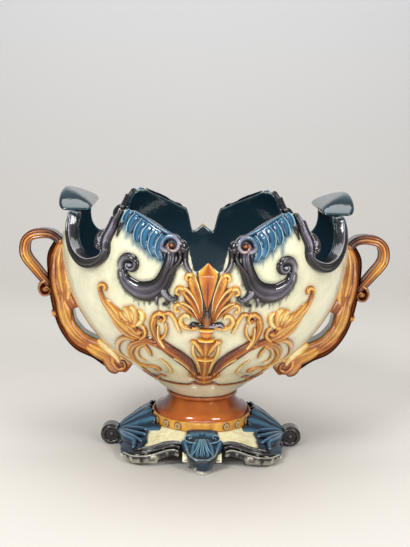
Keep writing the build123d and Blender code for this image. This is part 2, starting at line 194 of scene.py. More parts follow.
def outward(flat, lift=0.0, turn=0.0):
    """A carrier for a ribbon that runs in the XZ plane at y 0 and faces away from the inside of its bends."""
    place = np.stack([flat[:, 0], np.zeros(len(flat)), flat[:, 1] + BELLY], 1)
    run = np.gradient(place, axis=0)
    out = np.stack([run[:, 2], np.zeros(len(flat)), -run[:, 0]], 1)
    out /= np.linalg.norm(out, axis=1)[:, None]
    return place + out * lift, out


def on_wing(flat, lift=0.0, turn=0.0):
    """Points on a side wing's cone from (x, degrees round it)."""
    r = WING_FAR - (flat[:, 0] - WING_NEAR) * WING_TAPER / WING_LENGTH
    a = np.radians(flat[:, 1])
    out = np.stack([np.full(len(r), WING_OUT), WING_ROUND * np.sin(a), WING_ROUND * np.cos(a)], 1)
    place = np.stack([flat[:, 0], r * np.sin(a), WING_AXIS + r * np.cos(a)], 1)
    return place + out * lift, out


# Moulded strokes: the scrolls, leaves and lobes of the relief

CURVE_STEPS = 24                     # points between two given points of a path
FULLER, SHALLOWER = 1.28, 0.72       # the relief spreads and sinks under its glaze
SHALLOW_ROOT, DEEP_ROOT = 1.5, 2     # how far strokes reach into the wall; deeper ones are rolls, not relief
TOP_COLUMNS, UNDER_COLUMNS = 14, 4   # grid columns over a stroke and under it
DOME, VALLEY = 0.65, 2.5             # how full a stroke's arch is, and how narrow its grooves are
RIM_SINK, ROOT_SHADE = 0.4, 0.2      # share of the root that its rim goes in, and the glaze's depth there
SHORT_END = 0.3                      # least length that a stroke's rounded end takes, in millimetres
ROW_PITCH, FEWEST_ROWS, MOST_ROWS = 1.1, 12, 70   # grid rows along a stroke


def through(points, t):
    """Points at shares t of the length of a smooth line through the given points."""
    p = np.asarray(points, float)
    if len(p) == 2:
        return p[0] + (p[1] - p[0]) * t[:, None]
    p = np.vstack([2 * p[0] - p[1], p, 2 * p[-1] - p[-2]])
    fine = []
    for i in range(1, len(p) - 2):
        u = np.linspace(0, 1, CURVE_STEPS, endpoint=False)[:, None]
        fine.append(0.5 * (2 * p[i] + (p[i + 1] - p[i - 1]) * u
                           + (2 * p[i - 1] - 5 * p[i] + 4 * p[i + 1] - p[i + 2]) * u ** 2
                           + (3 * p[i] - p[i - 1] - 3 * p[i + 1] + p[i + 2]) * u ** 3))
    fine = np.vstack(fine + [p[-2:-1]])
    length = np.concatenate([[0], np.cumsum(np.linalg.norm(np.diff(fine, axis=0), axis=1))])
    return np.stack([np.interp(t * length[-1], length, fine[:, k]) for k in range(p.shape[1])], 1)


def curl(x, y, radius, start, turns, steps=9, inner=0.25):
    """Points that wind in round an eye at (x, y); start and turns in degrees, positive anticlockwise."""
    a = np.radians(np.linspace(start, start + turns, steps))
    r = radius * np.linspace(1, inner, steps)
    return [(x + p * math.cos(q), y + p * math.sin(q)) for p, q in zip(r, a)]


def stroke(path, wide, high, glaze, ribs=1, groove=0.3, sink=SHALLOW_ROOT, lift=0.0, carry=on_wall,
           turn=0.0, square=2.2, twist=0.0):
    """One tool stroke of the relief: a rounded, ribbed ridge along a path, as wide and high as given."""
    if carry is on_wall and sink < DEEP_ROOT:
        wide, high = [w * FULLER for w in wide], [h * SHALLOWER for h in high]
    return dict(path=path, wide=wide, high=high, glaze=glaze, ribs=ribs, groove=groove, sink=sink,
                lift=lift, carry=carry, turn=turn, square=square, twist=twist)


def boss(x, y, radius, high, glaze, **more):
    """A round eye or bead."""
    return stroke([(x - radius, y), (x + radius, y)], (2 * radius,), (high,), glaze, **more)


def spread(values, t):
    """Values given at even steps along a stroke, read at shares t of its length."""
    values = np.asarray(values, float)
    if len(values) == 1:
        return np.full(len(t), values[0])
    return np.interp(t, np.linspace(0, 1, len(values)), values)


def lay_stroke(s, along, around):
    """Places and colours of a grid's points, given their shares along and around one stroke."""
    rows, which = np.unique(np.round(along, 4), return_inverse=True)
    t = 0.5 - 0.5 * np.cos(math.pi * rows)
    flat = through(s["path"], t)
    place, out = s["carry"](flat, s["lift"], s["turn"])
    length = np.concatenate([[0], np.cumsum(np.linalg.norm(np.diff(place, axis=0), axis=1))])
    run = np.gradient(place, axis=0)
    run /= np.maximum(np.linalg.norm(run, axis=1), 1e-9)[:, None]
    side = np.cross(out, run)
    side /= np.maximum(np.linalg.norm(side, axis=1), 1e-9)[:, None]
    wide, high = spread(s["wide"], t), spread(s["high"], t)
    end = np.minimum(length, length[-1] - length)
    reach = np.maximum(wide / 2, SHORT_END)
    cut = np.sqrt(1 - (1 - np.minimum(end, reach) / reach) ** 2)
    wide, high = wide * cut, high * cut
    top = TOP_COLUMNS / (TOP_COLUMNS + UNDER_COLUMNS)
    over = around <= top
    across = np.where(over, 1 - 2 * around / top, -1 + 2 * (around - top) / (1 - top))
    dome = np.clip(1 - np.abs(across) ** s["square"], 0, 1) ** DOME
    phase = (across + 1) / 2 * s["ribs"] + s["twist"] * t[which]
    valley = np.abs(np.cos(math.pi * phase)) ** VALLEY if s["ribs"] > 1 else np.zeros(len(across))
    level = dome * (1 - s["groove"] * valley)
    rise = np.where(over, level * high[which], 0) - np.where(over, 0, s["sink"]) * np.sign(cut[which])
    edge = np.where(over & (np.abs(across) > 0.999), -s["sink"] * RIM_SINK * np.sign(cut[which]), 0)
    points = (place[which] + side[which] * (across * wide[which] / 2)[:, None]
              + out[which] * (rise + edge)[:, None])
    shade = np.where(over, (1 - across ** 2) * (1 - s["groove"] * valley), ROOT_SHADE)
    sets = s["glaze"] if isinstance(s["glaze"][0], tuple) else (s["glaze"],)
    colour = ramp(shade, sets[0])
    if len(sets) > 1:
        pace = t[which] * (len(sets) - 1)
        for i in range(1, len(sets)):
            colour = mix(colour, ramp(shade, sets[i]), pace - (i - 1))
    return points, colour


def only(piece):
    """Selects one piece alone."""
    bpy.ops.object.select_all(action="DESELECT")
    piece.select_set(True)
    bpy.context.view_layer.objects.active = piece


def read(mesh, what, width, source=None):
    """A value of every point of a mesh, as rows of that width."""
    values = np.zeros(len(source or mesh.vertices) * width, np.float32)
    (source or mesh.vertices).foreach_get(what, values)
    return values.reshape(-1, width).astype(float)


def places_of(piece):
    """A piece's points in millimetres."""
    return read(piece.data, "co", 3) / MM


def glaze_of(piece):
    """The glaze colour at each of a piece's points."""
    return read(piece.data, "color", 4, piece.data.attributes["Glaze"].data)[:, :3]


def put_places(piece, co):
    """Moves a piece's points to these places in millimetres."""
    piece.data.vertices.foreach_set("co", (co * MM).astype(np.float32).ravel())
    piece.data.update()
    return piece


def give_colour(mesh, colour):
    """Lays a glaze colour on each point of a mesh."""
    layer = mesh.attributes.get("Glaze") or mesh.attributes.new("Glaze", "FLOAT_COLOR", "POINT")
    layer.data.foreach_set("color", np.hstack([colour, np.ones((len(colour), 1))]).astype(np.float32).ravel())


def moulded(name, strokes):
    """A sprigged piece: one grid primitive for each stroke, laid along it and closed."""
    bpy.ops.object.select_all(action="DESELECT")
    mesh = bpy.data.meshes.new(name)
    piece = bpy.data.objects.new(name, mesh)
    bpy.context.scene.collection.objects.link(piece)
    only(piece)
    bpy.ops.object.mode_set(mode="EDIT")
    apart = 4                # grids stand this far from one another until they are laid
    for i, s in enumerate(strokes):
        span = np.linalg.norm(np.diff(through(s["path"], np.linspace(0, 1, 30)), axis=0), axis=1).sum()
        rows = int(min(max(span / ROW_PITCH, FEWEST_ROWS), MOST_ROWS))
        bpy.ops.mesh.primitive_grid_add(
            x_subdivisions=rows, y_subdivisions=TOP_COLUMNS + UNDER_COLUMNS, size=2,
            location=(apart * i, 0, 0))
    bpy.ops.object.mode_set(mode="OBJECT")
    co = read(mesh, "co", 3)
    owner = np.rint(co[:, 0] / apart).astype(int)
    along, around = (co[:, 0] - apart * owner + 1) / 2, (co[:, 1] + 1) / 2
    colour = np.zeros((len(co), 3))
    for i, s in enumerate(strokes):
        mine = owner == i
        co[mine], colour[mine] = lay_stroke(s, along[mine], around[mine])
    mesh.vertices.foreach_set("co", (co * MM).astype(np.float32).ravel())
    give_colour(mesh, colour)
    bpy.ops.object.mode_set(mode="EDIT")
    bpy.ops.mesh.select_all(action="SELECT")
    bpy.ops.mesh.remove_doubles(threshold=SAME_POINT)
    bpy.ops.mesh.normals_make_consistent(inside=False)
    bpy.ops.object.mode_set(mode="OBJECT")
    bpy.ops.object.shade_smooth()
    return piece


# Cast bodies: softened copies of the CAD solids

def cast(node, grain, passes):
    """A copy of a CAD solid, merged, evened into small faces and softened as thick glaze softens clay."""
    source = frame["nodes"][node]
    piece = source.copy()
    piece.data = source.data.copy()
    piece.name = node + "_glazed"
    piece.parent = None
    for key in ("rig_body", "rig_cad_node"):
        del piece[key]
    bpy.context.scene.collection.objects.link(piece)
    piece.data.materials.clear()
    only(piece)
    bpy.ops.object.mode_set(mode="EDIT")
    bpy.ops.mesh.select_all(action="SELECT")
    bpy.ops.mesh.remove_doubles(threshold=SAME_POINT)
    bpy.ops.object.mode_set(mode="OBJECT")
    remesh = piece.modifiers.new("even", "REMESH")
    remesh.mode, remesh.voxel_size = "VOXEL", grain * MM
    bpy.ops.object.modifier_apply(modifier=remesh.name)
    if passes:
        soften = piece.modifiers.new("soften", "SMOOTH")
        soften.factor, soften.iterations = 0.5, passes
        bpy.ops.object.modifier_apply(modifier=soften.name)
    bpy.ops.object.shade_smooth()
    return piece


BEND_GAIN = 6            # brings the bend of a glazed edge to about 1


def bend_of(mesh, co, normal):
    """How convex (over 0) or hollow (under 0) the surface is at each point, roughly -1 to 1."""
    edges = np.zeros(len(mesh.edges) * 2, np.int32)
    mesh.edges.foreach_get("vertices", edges)
    edges = edges.reshape(-1, 2)
    total, count = np.zeros_like(co), np.zeros(len(co))
    for a, b in ((0, 1), (1, 0)):
        np.add.at(total, edges[:, a], co[edges[:, b]])
        np.add.at(count, edges[:, a], 1)
    away = co - total / np.maximum(count, 1)[:, None]
    step = np.linalg.norm(co[edges[:, 0]] - co[edges[:, 1]], axis=1).mean()
    bend = (away * normal).sum(1) / step
    for _ in range(2):
        total = np.zeros(len(co))
        for a, b in ((0, 1), (1, 0)):
            np.add.at(total, edges[:, a], bend[edges[:, b]])
        bend = 0.5 * bend + 0.5 * total / np.maximum(count, 1)
    return np.clip(bend * BEND_GAIN, -1, 1)


def paint(piece, brush):
    """Colours a piece by its places in millimetres, its normals and how its surface bends."""
    mesh = piece.data
    co, normal = places_of(piece), read(mesh, "vector", 3, mesh.vertex_normals)
    give_colour(mesh, brush(co, normal, bend_of(mesh, co, normal)))
    return piece


def cloud(co, size, seed=0.0):
    """Smooth noise from about -1 to 1 with features of that size in millimetres."""
    shift = Vector((seed, SEED, -seed))
    return np.array([noise.noise(Vector(p) / size + shift) for p in co])


WEAR_HEIGHT, WEAR_FADE = 9, 12       # wear is even at that height and goes off over that much more


def wear(piece, amount):
    """Uncovers the pale clay where an edge of the base is rubbed, in broken patches."""
    mesh = piece.data
    co, normal = places_of(piece), read(mesh, "vector", 3, mesh.vertex_normals)
    patches, flecks = cloud(co, 5, 12), cloud(co, 2, 14)
    rubbed = bend_of(mesh, co, normal) * 0.8 + patches * 1.6 + flecks * 0.8
    rubbed -= (co[:, 2] - WEAR_HEIGHT) / WEAR_FADE
    give_colour(mesh, mix(glaze_of(piece), WORN_CLAY, (rubbed - 1 + amount) * 2))
    return piece


def join(name, *pieces):
    """Makes one piece of several."""
    bpy.ops.object.select_all(action="DESELECT")
    for p in pieces:
        p.select_set(True)
    bpy.context.view_layer.objects.active = pieces[0]
    bpy.ops.object.join()
    pieces[0].name = name
    return pieces[0]


def copied(piece, name, x, y):
    """A copy of a finished piece on another side of the cup."""
    twin = piece.copy()
    twin.data = piece.data.copy()
    twin.name = name
    bpy.context.scene.collection.objects.link(twin)
    only(twin)
    bpy.ops.object.mode_set(mode="EDIT")
    bpy.ops.mesh.select_all(action="SELECT")
    bpy.ops.transform.resize(value=(x, y, 1), center_override=(0, 0, 0))
    if x * y < 0:
        bpy.ops.mesh.flip_normals()
    bpy.ops.object.mode_set(mode="OBJECT")
    return twin


SIDES = {"front_right": (1, 1), "front_left": (-1, 1), "back_right": (1, -1), "back_left": (-1, -1)}
dressed = {}


def dress(piece, node, finish):
    """The piece stands for its CAD node and takes its glaze."""
    piece.data.materials.clear()
    piece.data.materials.append(finish)
    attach(piece, "root")
    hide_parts(node)
    dressed[node] = piece


def on_four_sides(piece, base, finish):
    """A front right piece and its three mirrored copies."""
    for side, (x, y) in list(SIDES.items())[1:]:
        dress(copied(piece, f"{base}_{side}_glazed", x, y), f"{base}_{side}", finish)
    piece.name = f"{base}_front_right_glazed"
    dress(piece, f"{base}_front_right", finish)


def on_two_sides(piece, base, names, x, y, finish):
    """A piece and its mirrored copy on the opposite side."""
    dress(copied(piece, f"{base}_{names[1]}_glazed", x, y), f"{base}_{names[1]}", finish)
    piece.name = f"{base}_{names[0]}_glazed"
    dress(piece, f"{base}_{names[0]}", finish)


# Glazes

def put(tree, kind, sockets=(), **settings):
    """Adds a node with its settings; a socket is given a value or is linked to another node's output."""
    made = tree.nodes.new(kind)
    for name, value in settings.items():
        setattr(made, name, value)
    for key, value in dict(sockets).items():
        if isinstance(value, bpy.types.NodeSocket):
            tree.links.new(value, made.inputs[key])
        else:
            made.inputs[key].default_value = value
    return made


# Values that every glaze shares: sizes in millimetres
GRAIN, WAVE, WAVE_HEIGHT = 2.2, 5, 0.5   # glaze specks, and the ripples that the brush leaves in the glaze
MIDDLE_OF_NOISE = (0.3, 0.7)             # between these a noise value goes from thin to deep glaze
SPECK_NOISE = (0.62, 0.74)               # above these a speck shows
BODY_ROUGHNESS, BODY_IOR, BODY_SHINE = 0.42, 1.5, 0.1   # the coloured glaze, dull under its own surface
SURFACE_IOR = 1.55                       # lead glaze


def glazed_earthenware(slot, mottle, patch, speck, speck_colour, gloss):
    """Lead-glazed earthenware: fired clay under a thick brushed glaze that pools in hollows and shines.
    mottle is how strongly its depth varies over patches of that size in millimetres."""
    material = bpy.data.materials.new(slot + "d_earthenware")
    material["slot"] = slot
    material.use_nodes = True
    tree = material.node_tree
    shader = tree.nodes["Principled BSDF"]
    place = put(tree, "ShaderNodeTexCoord").outputs["Object"]
    brushed = put(tree, "ShaderNodeAttribute", attribute_name="Glaze").outputs["Color"]
    depth = put(tree, "ShaderNodeTexNoise",
                {"Vector": place, "Scale": 1 / (patch * MM), "Detail": 4.0, "Roughness": 0.6,
                 "Distortion": 0.4})
    thin, deep = MIDDLE_OF_NOISE
    level = put(tree, "ShaderNodeMapRange",
                {"Value": depth.outputs["Fac"], "From Min": thin, "From Max": deep,
                 "To Min": 1 - mottle, "To Max": 1 + mottle * 0.6})
    deepened = put(tree, "ShaderNodeHueSaturation", {"Color": brushed, "Value": level.outputs["Result"]})
    grains = put(tree, "ShaderNodeTexNoise",
                 {"Vector": place, "Scale": 1 / (GRAIN * MM), "Detail": 3.0, "Roughness": 0.7})
    faint, full = SPECK_NOISE
    dots = put(tree, "ShaderNodeMapRange",
               {"Value": grains.outputs["Fac"], "From Min": faint, "From Max": full,
                "To Min": 0.0, "To Max": speck})
    blend = put(tree, "ShaderNodeMix", data_type="RGBA", blend_type="MULTIPLY")
    factor, under, over = blend.inputs[0], blend.inputs[6], blend.inputs[7]
    tree.links.new(dots.outputs["Result"], factor)
    tree.links.new(deepened.outputs["Color"], under)
    over.default_value = (*linear(speck_colour), 1.0)
    tree.links.new(blend.outputs[2], shader.inputs["Base Color"])
    waves = put(tree, "ShaderNodeTexNoise", {"Vector": place, "Scale": 1 / (WAVE * MM), "Detail": 2.0})
    bump = put(tree, "ShaderNodeBump",
               {"Height": waves.outputs["Fac"], "Strength": 0.35, "Distance": WAVE_HEIGHT * MM})
    for socket in ("Normal", "Coat Normal"):
        tree.links.new(bump.outputs["Normal"], shader.inputs[socket])
    for socket, value in (("Roughness", BODY_ROUGHNESS), ("IOR", BODY_IOR),
                          ("Specular IOR Level", BODY_SHINE),
                          ("Coat Weight", 1.0), ("Coat Roughness", gloss), ("Coat IOR", SURFACE_IOR)):
        shader.inputs[socket].default_value = value
    return material


# Tin-white slip under clear lead glaze: pale cream, barely clouded, with faint straw specks.
cream_glaze = glazed_earthenware("cream_glaze", 0.10, 14, 0.35, "#CFC48E", 0.08)
# Iron-stained lead glaze: brown where it pools, amber on the flats, straw on the ridges.
amber_glaze = glazed_earthenware("amber_glaze", 0.28, 9, 0.2, "#8A4614", 0.07)
# The same glaze over manganese on the loops: amber running into plum.
honey_glaze = glazed_earthenware("honey_glaze", 0.28, 10, 0.2, "#6A2E18", 0.07)
# A thicker, even iron glaze on the stem: burnt orange with the sharpest shine.
orange_glaze = glazed_earthenware("orange_glaze", 0.16, 12, 0.15, "#8A360E", 0.06)
# A thin iron glaze on the collar: ochre, a little duller.
gold_glaze = glazed_earthenware("gold_glaze", 0.2, 8, 0.25, "#8F5516", 0.09)
# Cobalt lead glaze: near black in the hollows and grey-blue where it has run thin.
blue_glaze = glazed_earthenware("blue_glaze", 0.3, 9, 0.15, "#0E1A28", 0.07)
# Manganese lead glaze: black with a violet cast, lavender grey where it is thin.
manganese_glaze = glazed_earthenware("manganese_glaze", 0.35, 10, 0.2, "#5E5660", 0.06)


# The middle ornament on each face

GROOVED = dict(ribs=2, groove=0.55)

# The fan's ground, the flame-shaped middle leaf and its core, then on each side: the black line beside it,
# three lobes with their curled tips, the low volute, pale lines on the lobes, and the black tie
palmette = moulded("palmette", [
    stroke([(0, -57), (0, -42), (0, -24), (0, -8)], (10, 30, 36, 18), (2, 3.6, 3.6, 2.5),
           (RUSSET, RUSSET, RUSSET), square=3),
    stroke([(0, -44), (0, -30), (0, -16), (0, -5), (0, 3)], (2, 9, 15, 17, 1.5), (3, 5, 6, 6, 3), FLAME,
           square=3),
    stroke([(0, -40), (0, -20), (0, -3)], (1, 3.5, 1), (4, 7, 5), EMBER),
] + [stroke(p, w, h, g, **k) for m in (1, -1) for p, w, h, g, k in [
    ([(m * 10, -5), (m * 6.5, -20), (m * 2.5, -38), (m * 1, -52)], (1.5, 2.4, 2.8, 4), (4.5, 6, 6, 6.5),
     MANGANESE, {}),
    ([(m * 3, -46), (m * 7.5, -30), (m * 12, -17), (m * 15.5, -9)], (3, 8, 11, 9), (4, 5.5, 6, 4.5),
     (RUSSET, AMBER, GOLD), GROOVED),
    ([(m * 13, -9), (m * 17.5, -7.5), (m * 20, -11), (m * 17.5, -13.5)], (4, 4, 3.5, 3), (5, 5.5, 5, 4),
     GOLD, {}),
    ([(m * 4, -49), (m * 11, -35), (m * 18, -26), (m * 24, -22)], (3, 8, 10, 7), (4, 5.5, 5.5, 4),
     (RUSSET, AMBER, GOLD), GROOVED),
    ([(m * 21, -22), (m * 26.5, -20.5), (m * 28.5, -25), (m * 25, -27.5)], (4, 4, 3.5, 3), (4.5, 5, 4.5, 3),
     GOLD, {}),
    ([(m * 5, -53), (m * 13, -43), (m * 20, -38), (m * 25, -37)], (3, 7, 9, 6), (4, 5, 5, 3.5),
     (RUSSET, AMBER, GOLD), GROOVED),
    ([(m * 23, -37), (m * 28.5, -37.5), (m * 29, -43), (m * 25, -44)], (3.5, 4, 3.5, 3), (4, 4.5, 4, 3),
     GOLD, {}),
    ([(m * 5, -55), (m * 11, -60), (m * 19, -60), (m * 24, -55), (m * 23, -49), (m * 18, -47),
      (m * 15.5, -51)],
     (3, 4, 4.5, 4.5, 4, 3), (4, 4, 4.5, 4.5, 4), (AMBER, GOLD, PALE_GOLD), {}),
    ([(m * 4.5, -42), (m * 5, -30), (m * 8.5, -17), (m * 12, -8)], (0.8, 1.5, 1.7, 1.2),
     (4.5, 6.6, 6.8, 5.5), PALE_GOLD, {}),
    ([(m * 6.5, -44), (m * 9.5, -34), (m * 16, -23.5), (m * 22, -19.5)], (0.8, 1.5, 1.6, 1.2),
     (4.5, 6.3, 6.3, 4.5), PALE_GOLD, {}),
    ([(m * 8, -50), (m * 13, -40.5), (m * 19.5, -35.5), (m * 25, -34.5)], (0.8, 1.4, 1.5, 1),
     (4, 5.7, 5.7, 4), PALE_GOLD, {}),
    ([(m * 1, -57), (m * 7, -57), (m * 12, -55.5), (m * 15, -58), (m * 13, -61)], (4, 4, 3.5, 3, 2.5),
     (5, 5, 4.5, 4), LAVENDER if m > 0 else MANGANESE, {}),
]] + [
    stroke([(0, -40), (0, -50), (0, -59)], (5, 9, 6), (5, 7, 5), (MANGANESE, RUSSET)),
])
on_two_sides(palmette, "palmette", ("front", "back"), 1, -1, amber_glaze)

# The reeded stem and its cup, the knop, the collars round them, and the leaves beside the cup
stalk = moulded("stalk", [
    stroke([(0, -134), (0, -126), (0, -118), (0, -95), (0, -92)], (12, 10, 8, 9, 9), (3, 4.5, 5, 5.5, 5),
           (RUSSET, AMBER), ribs=3),
    stroke([(0, -93), (0, -86), (0, -80), (0, -74)], (9, 13, 17, 21), (5, 6.5, 7, 6), (AMBER, ORANGE),
           ribs=3, groove=0.45),
    boss(0, -66, 5.5, 6.5, ORANGE),
    stroke([(-8, -71.5), (0, -72.5), (8, -71.5)], (3,), (6.5,), GOLD),
    stroke([(-7, -61.5), (0, -62), (7, -61.5)], (3,), (5.5,), GOLD),
    stroke([(-8, -94), (0, -95), (8, -94)], (2.5,), (6,), GOLD),
    stroke([(-8, -118), (0, -119), (8, -118)], (3,), (5.5,), AMBER),
    stroke([(-9, -125), (0, -127), (9, -125)], (7,), (5,), (RUSSET, AMBER, RUSSET)),
    stroke([(-11, -131), (0, -133.5), (11, -131)], (3.5,), (3.5,), RUSSET),
] + [stroke(p, w, h, g) for m in (1, -1) for p, w, h, g in [
    ([(m * 2, -89), (m * 5, -82), (m * 9, -76), (m * 13, -74), (m * 13, -78)], (3, 5, 5, 3.5, 2),
     (6, 7, 6, 4), (AMBER, GOLD)),
    ([(m * 3, -116), (m * 6.5, -102), (m * 11.5, -88), (m * 12, -76)], (2, 4, 4, 2), (3, 3.5, 3, 2),
     (AMBER, GOLD, PALE_GOLD)),
    ([(m * 8, -123), (m * 13, -121), (m * 14, -117)], (4, 4, 2), (3.5, 3, 2), (RUSSET, AMBER)),
]])
on_two_sides(stalk, "stalk", ("front", "back"), 1, -1, amber_glaze)

# The main limb and its curl, the limb that leaves it for the spray, and the leaves in the fork
branch = moulded("branch", [
    stroke([(8, -121), (16, -104), (25, -94), (34, -87), (43, -79), (48, -69), (50.5, -59), (48.5, -50)],
           (5, 9, 13, 13, 11, 8, 7, 6), (3, 5, 6, 6, 5.5, 5, 5, 5), (RUSSET, RUSSET, RUSSET, AMBER, GOLD),
           ribs=3, groove=0.5),
    stroke([(48.8, -53), *curl(42.5, -52, 6.5, 15, 330)], (5, 4.5, 3.5, 2.5), (5, 5, 4.5, 4), (AMBER, GOLD)),
    boss(42, -53, 2.6, 6, RUSSET),
    stroke([(24, -92), (34, -86.5), (45, -81.5), (55, -78), (62, -75)], (6, 9, 9, 8, 6),
           (4, 5.5, 5, 4.5, 4), (RUSSET, RUSSET, AMBER), ribs=2, groove=0.5),
    stroke([(9, -117), (15, -107), (22, -99), (30, -94)], (1.5, 2.6, 2.6, 1.5), (3, 5, 5.5, 5), PALE_GOLD),
    stroke([(40, -47), (34, -46), (30, -51), (27, -59), (24, -66)], (3, 4, 4, 3.5, 2), (4, 4, 3.5, 3, 2),
           (AMBER, GOLD, PALE_GOLD)),
    stroke([(45, -76), (39, -70), (37, -62), (38, -56)], (2, 3.5, 3, 2), (4, 4, 3.5, 3), (AMBER, GOLD)),
    stroke([(38, -83), (44, -72), (45, -60)], (2, 2.4, 1.5), (6, 6.3, 5), PALE_GOLD),
    boss(47, -80, 3, 7, RUSSET),
])
on_four_sides(branch, "branch", amber_glaze)

# The long leaf with its curled tip over its ground, the lesser leaves, and the half-open flower
leaf_spray = moulded("leaf_spray", [
    stroke([(62, -75), (75, -64), (88, -52), (97, -40)], (9, 17, 14, 5), (2, 3.2, 3, 2), (AMBER, GOLD, GOLD)),
    boss(71, -54, 9, 2.6, (PALE_GOLD, GOLD)),
    stroke([(61, -76), (70, -72), (78, -65), (87, -56), (95, -46), (100, -37), (101.5, -30)],
           (4, 8, 11, 11, 8, 5.5, 4.5), (3.5, 4.5, 5, 5, 4.5, 4.5, 4), (AMBER, GOLD, AMBER), ribs=3,
           groove=0.5),
    stroke([(101.5, -33), *curl(97.5, -28.5, 4.6, -20, 300)], (4.5, 4, 3), (4.5, 4.5, 4), (AMBER, GOLD)),
    stroke([(64, -77), (74, -75), (84, -67), (92, -57)], (4, 7, 6, 2), (3.5, 4.5, 4, 2), (AMBER, GOLD),
           ribs=3, groove=0.5),
    stroke([(64, -71), (68, -64), (75, -60), (83, -57), (90, -50)], (3, 5, 6, 5, 2), (4, 5, 5, 4.5, 3),
           (RUSSET, AMBER, GOLD), ribs=2, groove=0.5),
    stroke([(80, -61), (84, -52), (90, -45)], (3, 4.5, 1.5), (4, 4.5, 3), (AMBER, GOLD)),
    stroke([(66, -63), (61, -57), (60, -50), (64, -46)], (4, 5, 5, 3), (3, 3.5, 3.5, 2.5), PALE_GOLD),
    stroke([(68, -63), (66, -54), (68, -46), (72, -43.5)], (4, 5.5, 5.5, 3.5), (3.5, 4, 4, 3),
           (AMBER, GOLD, PALE_GOLD)),
    stroke([(70, -62), (72, -54), (75, -48), (79, -46.5)], (4, 5.5, 5, 3.5), (3.5, 4, 4, 3),
           (AMBER, GOLD, PALE_GOLD)),
    stroke([(71, -63), (76, -58), (80, -53), (82, -50)], (4, 5, 4, 2.5), (3, 4, 3.5, 2.5), GOLD),
    boss(68.5, -62, 3.6, 6, AMBER),
    boss(63, -69, 3, 5, AMBER),
    stroke([(63, -78), (57, -71), (58, -64), (62, -61)], (3, 4, 3, 2), (4, 4.5, 4, 3), (AMBER, GOLD)),
])
on_four_sides(leaf_spray, "leaf_spray", amber_glaze)

# The line at the bowl's foot with its knob, and the large volute with the tendrils inside and outside it
lower_strokes = [
    stroke([(62, -127), (53, -132), (42, -135), (29, -136.5), (16, -136), (11, -133)],
           (1, 2, 2.4, 2.4, 2.4, 1.5), (1.5, 2, 2, 2), RUSSET),
    boss(48, -130.5, 3.4, 4, RUSSET),
    stroke([(46, -128), (41, -125), (38, -127)], (2, 3, 1.5), (2, 2.5, 1.5), AMBER),
    stroke([(51, -129), (57, -125), (62, -119), (68, -113), (74, -111)], (2, 3, 3, 2), (2, 2.5, 2.5, 1.5),
           (AMBER, PALE_GOLD)),
    stroke([(52, -80), (61, -80.5), (69, -86), (73, -95), (71.5, -105), (65, -112), (56, -114), (48, -111)],
           (3, 4.5, 5, 5, 5, 4.5, 4, 3), (3.5, 4.5, 4.5, 4, 3.5, 3, 2.5), (AMBER, GOLD, GOLD), ribs=2,
           groove=0.5),
    stroke([(50, -112), *curl(47.5, -116.5, 4.2, 80, 260, 7)], (3.5, 3, 2.5), (3.2, 3, 2.5), (GOLD, AMBER)),
    stroke([(57, -82), (64, -88), (66, -96), (63, -103), (58, -105)], (2, 3, 3, 2.5, 1.5), (2.5, 3, 3, 2),
           (AMBER, PALE_GOLD)),
    stroke([(58, -84), (54, -91), (52, -98)], (3, 3.5, 1.5), (3, 3, 2), (AMBER, GOLD)),
    stroke([(43, -100), (36, -108), (33, -117), (38, -122)], (1.6, 2.6, 2.4, 1.4), (1.6, 2, 1.8, 1.2),
           PALE_GOLD),
    stroke([(68, -80), (78, -80), (85, -88), (86, -100), (80, -108), (73, -110)], (2.5, 4, 4, 3.5, 3, 2),
           (2.5, 3, 3, 2.5, 2, 1.5), (AMBER, PALE_GOLD)),
]
for s in lower_strokes:      # these scrolls are broader and flatter than the rest
    s["wide"], s["high"] = [w * 1.4 for w in s["wide"]], [h * 0.9 for h in s["high"]]
lower_scroll = moulded("lower_scroll", lower_strokes)
on_four_sides(lower_scroll, "lower_scroll", amber_glaze)

# The rim: panel scrolls, fluted crests, bay rolls

